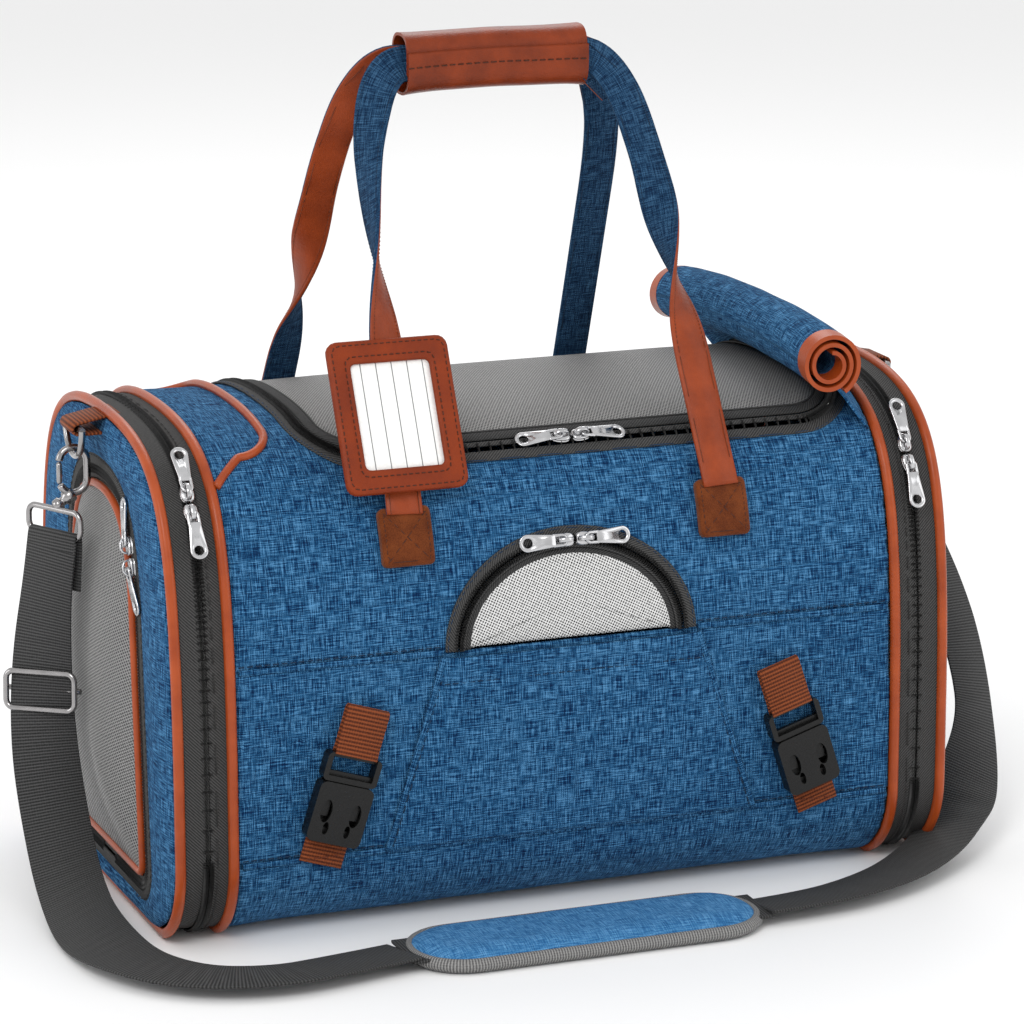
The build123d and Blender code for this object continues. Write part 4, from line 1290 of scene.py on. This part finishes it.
LEFT_ROUTE = [
    (-260, 0, 208), (-265, -1, 174), (-269, -2, 130), (-270, -8, 88), (-268, -22, 48), (-269, -52, 20),
    (-272, -100, 10), (-264, -150, 9), (-238, -185, 8), (-196, -199, 8), (-154, -191, 7), (-118, -183, 6.5),
]
RIGHT_ROUTE = [
    (260, 0.5, 206), (267, -12, 176), (276, -38, 140), (282, -58, 100), (280, -78, 62), (263, -100, 30),
    (235, -128, 14), (200, -156, 9), (165, -174, 8), (128, -183, 7), (92, -184, 6.5),
]
HANG = {-1: Vector((-0.875, -0.485, 0)).normalized(), 1: Vector((0.45, -0.9, 0)).normalized()}
# The middle of the bar that each strap end folds round.
EYE = {-1: Vector((-258, 1.3, 209)) * MM, 1: Vector((259, 3.0, 207)) * MM}


def turned(name, start, end, profile, material):
    """A round part along an axis. profile lists (share of its length, radius in mm)."""
    start, way = Vector(start), Vector(end) - Vector(start)
    side = way.orthogonal().normalized()
    other = way.normalized().cross(side)
    loops = [[start + way * share + (side * a + other * b) for a, b in disc(radius * MM, 16)]
             for share, radius in profile]
    return skin(name, loops, material, centre=True)


def wire_hook(word, side, paints):
    """A swivel hook: a wire claw on the ring, its gate, a knuckle and the eye the strap folds round."""
    x, z, half, bend = 247 * MM, 245.5 * MM, 8 * MM, 5 * MM
    line = [(half * math.cos(a), bend + half * math.sin(a)) for a in np.linspace(0.13, math.pi, 14)]
    line += [(-half * math.cos(a), -bend - half * math.sin(a)) for a in np.linspace(0, math.pi - 0.39, 14)]
    claw = [Vector((side * (x + a), 0, z + b)) for a, b in spaced(line, 60)]
    steel = paints["dark_metal"]
    up, across = UP, HANG[side].cross(UP)
    eye = [EYE[side] + up * 7.5 * MM + across * a + up * b
           for a, b in rounded(41 * MM, 15 * MM, 5.5 * MM, 100)]
    hook = joined(f"{word}_wire_hook", [
        sweep("claw", claw, [Vector((0, 1, 0))] * len(claw), disc(2.1 * MM), steel),
        turned("knuckle", (side * x, 0, z - 13 * MM), EYE[side] + up * 15.5 * MM,
               [(0, 0.2), (0, 3.2), (0.1, 4.2), (0.42, 4.2), (0.5, 2.6), (0.62, 2.6), (0.66, 3.8),
                (0.92, 3.6), (1, 2.0), (1, 0.2)],
               steel),
        sweep("eye", eye, [HANG[side]] * len(eye), disc(1.7 * MM), steel, closed=True),
    ])
    gate = turned(f"{word}_wire_gate", (side * (x + half), 0, z - 7.1 * MM),
                  (side * (x + half), 0, z + 5.1 * MM),
                  [(0, 0.2), (0, 1.0), (0.1, 1.6), (0.9, 1.6), (1, 1.0), (1, 0.2)], steel)
    return [stand_in(hook, f"{word}_hook"), stand_in(gate, f"{word}_hook_gate")]


def adjuster(points, paints):
    """The wire buckle on the left run: a rounded frame in front of the strap and a bar behind it."""
    low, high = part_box("strap_adjuster")
    height = (low[2] + high[2]) / 2
    at = min(range(2, len(points) - 2), key=lambda i: abs(points[i].z - height) + abs(points[i].y) * 0.2)
    way, face = (points[at + 1] - points[at - 1]).normalized(), Vector((-0.68, -0.73, 0.03)).normalized()
    across = way.cross(face).normalized()
    ring = [points[at] + face * 2.3 * MM + across * a + way * b
            for a, b in rounded(43 * MM, 21 * MM, 4.5 * MM, 120)]
    bar = points[at] - face * 1.6 * MM
    made = joined("wire_adjuster", [
        sweep("ring", ring, [face] * len(ring), disc(1.7 * MM), paints["dark_metal"], closed=True),
        turned("bar", bar - across * 23.4 * MM, bar + across * 23.4 * MM,
               [(0, 0.2), (0, 1.6), (1, 1.6), (1, 0.2)], paints["dark_metal"]),
    ])
    return stand_in(made, "strap_adjuster")


def smooth_route(route):
    """Points along the NURBS spline whose control points are the route's."""
    curve = bpy.data.curves.new("route", "CURVE")
    curve.dimensions, curve.resolution_u = "3D", 24
    spline = curve.splines.new("NURBS")
    spline.points.add(len(route) - 1)
    for point, place in zip(spline.points, route):
        point.co = (*(c * MM for c in place), 1)
    spline.order_u, spline.use_endpoint_u = 3, True
    holder = bpy.data.objects.new("route", curve)
    bpy.context.scene.collection.objects.link(holder)
    graph = bpy.context.evaluated_depsgraph_get()
    data = bpy.data.meshes.new_from_object(holder.evaluated_get(graph))
    points = [v.co.copy() for v in data.vertices]
    bpy.data.objects.remove(holder)
    return spaced(points, 220)


def strap_run(word, route, facing, paints, with_pieces):
    """A free run of flat webbing. facing lists (share of its length, direction its face looks)."""
    points = [Vector(p) for p in smooth_route(route)]
    shares = np.linspace(0, 1, len(points))
    faces = np.stack([np.interp(shares, [s for s, _ in facing], [f[i] for _, f in facing])
                      for i in range(3)], axis=1)
    faces = np.stack([smoothed(faces[:, i], 7) for i in range(3)], axis=1)
    made = sweep(f"{word}_strap", points, faces, flat(STRAP_WIDTH, 1.6 * MM, -0.8 * MM),
                 paints["grey_webbing"])
    for vertex in made.data.vertices:
        vertex.co.z = max(vertex.co.z, 0.6 * MM)
    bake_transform(made)
    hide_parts(f"strap_{word}_run")
    total = length_of(points)
    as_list(with_pieces)


def strap_fold(word, side, paints):
    """The strap's end, folded round the hook's eye and sewn down behind."""
    wrap = [(2.6 * math.cos(a), 2.6 * math.sin(a)) for a in np.linspace(0, math.pi, 9)]
    line = [(3.4, -15.0), (3.3, -6.0)] + wrap + [(-2.6, -6.0), (-0.6, -30.0)]
    points = [EYE[side] + HANG[side] * a * MM + UP * b * MM for a, b in spaced(line, 60)]
    across = HANG[side].cross(UP)
    outward = [across.cross(w) for w in tangents(points, False)]
    made = sweep(f"{word}_strap_fold", points, outward, flat(STRAP_WIDTH - 1 * MM, 1.4 * MM, -0.7 * MM),
                 paints["grey_webbing"])
    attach(made, f"{word}_end")


def straps(paints):
    shoulder_pad(paints)
    left = [(0, tuple(HANG[-1])), (0.06, tuple(HANG[-1])), (0.17, (-0.68, -0.73, 0.03)),
            (0.3, (-0.35, -0.93, 0.05)),
            (0.42, (-0.3, -0.9, 0.2)), (0.52, (-0.35, -0.5, 0.7)), (0.64, (-0.05, 0.05, 1)), (1, (0, 0.1, 1))]
    right = [(0, tuple(HANG[1])), (0.36, (0.5, -0.85, 0.1)), (0.46, (0.35, -0.5, 0.7)),
             (0.57, (0.03, 0.1, 1)), (1, (0, 0.15, 1))]
    left_hook, right_hook = wire_hook("left", -1, paints), wire_hook("right", 1, paints)
    buckle = adjuster([Vector(p) for p in smooth_route(LEFT_ROUTE)], paints)
    strap_run("left", LEFT_ROUTE, left, paints,
              left_hook + [buckle])
    strap_run("right", RIGHT_ROUTE, right, paints, right_hook)
    for word, side in ENDS:
        strap_fold(word, side, paints)


def bed_pad(paints):
    """The fleece pad inside, its top rising and falling in rings."""
    low, high = corners("bed_pad")
    middle, size = (low + high) / 2, high - low
    loops = []
    for inset, rise in ((2, 0.1), (0, 0.5), (2, 0.8), (8, 1.0), (20, 0.9), (40, 1.0), (60, 0.85), (75, 1.0)):
        line = rounded(size.x - 2 * inset * MM, size.y - 2 * inset * MM, max(25 - inset * 0.3, 5) * MM, 160)
        loops.append([Vector((middle.x + a, middle.y + b, low.z + size.z * rise)) for a, b in line])
    pad = skin("bed", loops, paints["lining"], centre=True, uv=lambda p: (p.x, p.y))
    stand_in(pad, "bed_pad")


# ---------- zip sliders and pull tabs ----------

PIVOT, DROOP = 4.8 * MM, math.radians(6)


def slider_body(origin, along, across, out, paint):
    def place(a, b, c):
        return origin + (along * a + across * b + out * c) * MM

    plan = [(5.5 * math.cos(t),
             (3.7 - 0.7 * math.cos(t)) * math.copysign(abs(math.sin(t)) ** 0.6, math.sin(t)))
            for t in np.linspace(0, 2 * math.pi, 32, endpoint=False)]
    layers = ((0.4, 0.3), (0.4, 0.9), (0.8, 1.0), (1.5, 1.0), (1.7, 0.8), (2.1, 0.8), (2.3, 1.0),
              (3.0, 0.98), (3.5, 0.8))
    body = skin("slider", [[place(a * size, b * size, c) for a, b in plan] for c, size in layers], paint,
                centre=True)
    arch = spaced([(-4.4, 2.8), (-4.2, 4.6), (-3.2, 6.3), (-1.2, 7.2), (1.6, 7.1), (3.4, 6.0), (4.2, 4.4),
                   (4.3, 2.8)], 24)
    line = [place(a, 0, c) for a, c in arch]
    outward = [w.cross(across) for w in tangents(line, False)]
    return [body, sweep("bridge", line, outward, flat(2.6 * MM, 1.0 * MM, -0.5 * MM), paint)]


def pull_tab(pivot, along, across, out, paint):
    """A tab: a wire loop round the bridge and a plate that widens to a round end with a hole."""
    def place(a, b, c):
        return pivot + (along * a + across * b + out * c) * MM

    end = [(22.0 + 5.0 * math.cos(t), 5.0 * math.sin(t)) for t in np.linspace(-1.45, 1.45, 14)]
    outline = spaced([(6.0, -3.3)] + end + [(6.0, 3.3)], 64, True)
    hole = []
    for a, b in outline:
        reach = math.hypot(a - 22.0, b)
        hole.append((22.0 + 2.7 * (a - 22.0) / reach, 2.7 * b / reach))
    small = [(16 + (a - 16) * 0.965, b * 0.93) for a, b in outline]
    loops = [[place(a, b, c) for a, b in line]
             for line, c in ((hole, -0.5), (small, -0.75), (outline, -0.45), (outline, 0.45), (small, 0.75),
                             (hole, 0.5), (hole, -0.5))]
    plate = skin("plate", loops, paint)
    bow = spaced([(7.6, 2.9), (1.6, 2.7), (0.2, 1.8), (0.0, 0.0), (0.2, -1.8), (1.6, -2.7), (7.6, -2.9)], 30)
    line = [place(a, b, 0) for a, b in bow]
    return [plate, sweep("bow", line, [out] * len(line), [(a, b * 0.8) for a, b in disc(0.95 * MM, 10)],
                         paint)]


def zip_pulls(paints):
    """Every slider and its tab, which points from its hinge to the middle of the CAD tab."""
    bodies = {"body_sliders": [], "left_door_sliders": [], "right_door_sliders": []}
    paint = paints["zip_metal"]
    for joint in frame["joints"]:
        if not joint["name"].endswith("_tab_hinge"):
            continue
        node = joint["name"].replace("_hinge", "")
        pivot, across = Vector(joint["pos_m"]), Vector(joint["axis"]).normalized()
        low, high = corners(node)
        along = ((low + high) / 2 - pivot).normalized()
        out = along.cross(across)
        owner = next((name for name in bodies if node.startswith(name[:9])), "body_sliders")
        away = Vector((pivot.x, 0, 0))
        if owner == "body_sliders":
            away = Vector((0, pivot.y, pivot.z - MIDDLE_Z))
        if out.dot(away) < 0:
            out = -out
        across = out.cross(along)
        stand_in(joined(f"{node}_plate", pull_tab(pivot, along, across, out, paint)), node)
        level = along * math.cos(DROOP) + out * math.sin(DROOP)
        rise = out * math.cos(DROOP) - along * math.sin(DROOP)
        bodies[owner] += slider_body(pivot - rise * PIVOT, level, across, rise, paint)
    for node, pieces in bodies.items():
        stand_in(joined(f"{node}_cast", pieces), node)


# ---------- hardware from the frame ----------

def finish_hardware(paints):
    """The metal and plastic parts keep their CAD shape, with soft edges and their own finish."""
    finishes = {
        "zip_metal": ("zip_metal", 0.45 * MM), "dark_metal": ("dark_metal", 0.5 * MM),
        "black_plastic": ("black_plastic", 0.6 * MM), "board": ("board", 0.4 * MM),
        "spring_wire": ("dark_metal", 0.5 * MM),
    }
    for node, piece in frame["nodes"].items():
        if SLOTS[node] not in finishes:
            continue
        paint, edge = finishes[SLOTS[node]]
        for slot_index in range(max(1, len(piece.material_slots))):
            if not piece.material_slots:
                piece.data.materials.append(paints[paint])
            piece.material_slots[slot_index].material = paints[paint]
        rounding = piece.modifiers.new("soft_edges", "BEVEL")
        rounding.width, rounding.segments, rounding.limit_method = edge, 3, "ANGLE"
        rounding.angle_limit = math.radians(35)


def materials():
    navy = ((0.001, 0.012, 0.055), (0.010, 0.076, 0.185), (0.085, 0.245, 0.450))
    orange = ((0.270, 0.040, 0.006), (0.370, 0.064, 0.012))
    return {
        "canvas": canvas("canvas_blue", *navy),
        "pad_canvas": canvas("canvas_pad", (0.016, 0.095, 0.250), (0.045, 0.190, 0.410),
                             (0.130, 0.330, 0.580)),
        "handle_canvas": canvas("canvas_handle", (0.003, 0.014, 0.042), (0.012, 0.046, 0.105),
                                (0.042, 0.110, 0.205)),
        "piping": leather("piping_cover", *orange, roughness=0.34, depth=0.0001, coat=0.2),
        "strap_leather": leather("strap_leather", (0.180, 0.026, 0.004), (0.290, 0.046, 0.008)),
        "grip_leather": leather("grip_leather", (0.120, 0.016, 0.002), (0.225, 0.032, 0.004), roughness=0.3,
                                coat=0.12),
        "tag_leather": leather("tag_leather", (0.150, 0.018, 0.002), (0.225, 0.030, 0.003), roughness=0.5,
                               coat=0.03),
        "suede": suede("suede_patch", (0.085, 0.017, 0.003), (0.175, 0.043, 0.009)),
        # Webbing: the first colour is painted shade in the grooves between the ribs.
        "tan_webbing": webbing("webbing_tan", (0.065, 0.012, 0.003), (0.240, 0.058, 0.016), 2.2 * MM),
        "grey_webbing": webbing("webbing_grey", (0.014, 0.014, 0.014), (0.066, 0.066, 0.066)),
        "pad_binding": webbing("binding_grey", (0.09, 0.09, 0.09), (0.30, 0.295, 0.29), 1.6 * MM),
        # Tape and binding: the first colour is painted shade in the troughs of the diagonal ribs.
        "tape": twill("tape_grey", (0.018, 0.018, 0.018), (0.068, 0.067, 0.066)),
        "binding": twill("binding_dark", (0.016, 0.016, 0.016), (0.050, 0.050, 0.050)),
        "coil": moulded("coil_black", (0.005, 0.005, 0.005), (0.022, 0.022, 0.022), 0.4),
        # Meshes: the second colour is painted shade, the dark inside of the bag seen through the holes.
        "mesh": netting("mesh_grey", (0.250, 0.248, 0.244), (0.028, 0.028, 0.028), 1.6 * MM),
        "window_mesh": netting("mesh_window", (0.75, 0.75, 0.74), (0.10, 0.10, 0.10), 1.5 * MM, 0.35),
        "lining": canvas("lining_grey", (0.22, 0.22, 0.22), (0.33, 0.33, 0.33), (0.45, 0.45, 0.45)),
        "blue_thread": moulded("thread_blue", (0.006, 0.020, 0.050), (0.012, 0.040, 0.090), 0.7),
        "grey_thread": moulded("thread_grey", (0.020, 0.020, 0.020), (0.050, 0.050, 0.050), 0.7),
        "tan_thread": moulded("thread_tan", (0.120, 0.026, 0.010), (0.210, 0.050, 0.020), 0.6),
        "brown_thread": moulded("thread_brown", (0.045, 0.012, 0.006), (0.090, 0.026, 0.012), 0.6),
        "zip_metal": metal("polished_nickel", (0.56, 0.56, 0.57), 0.2),
        "dark_metal": metal("gunmetal", (0.34, 0.33, 0.33), 0.2),
        "black_plastic": moulded("acetal_black", (0.003, 0.003, 0.003), (0.007, 0.007, 0.007), 0.3),
        "board": moulded("board_black", (0.02, 0.02, 0.02), (0.05, 0.05, 0.05), 0.7),
        "card": ruled_card("card_white"),
    }


studio()
paints = materials()
straps(paints)
shell = body_canvas(paints["canvas"])
shell.name = "body_canvas"
stand_in(shell, "body_shell")
body_pipings(paints)
moving_tapes = fixed_tapes(paints)
seams(paints)
pocket(paints)
for end_word, end_side in ENDS:
    end_face(end_word, end_side, moving_tapes[end_word], paints)
    gusset(end_word, end_side, paints)
    ring_tab(end_word, end_side, paints)
buckle_webbing(paints)
handle_patches(paints)
handle(-1, "front_strap", [(0, 0), (0.15, 10), (0.24, 85), (0.32, 120), (0.41, 180), (0.72, 180),
                           (0.86, 360), (1, 360)], paints)
handle(1, "back_strap", [(0, 0), (0.1, 10), (0.24, 180), (0.42, 180), (0.5, 270), (0.58, 360), (1, 360)],
       paints)
grip(paints)
tag(paints)
rolled_flap(paints)
bed_pad(paints)
zip_pulls(paints)
finish_hardware(paints)
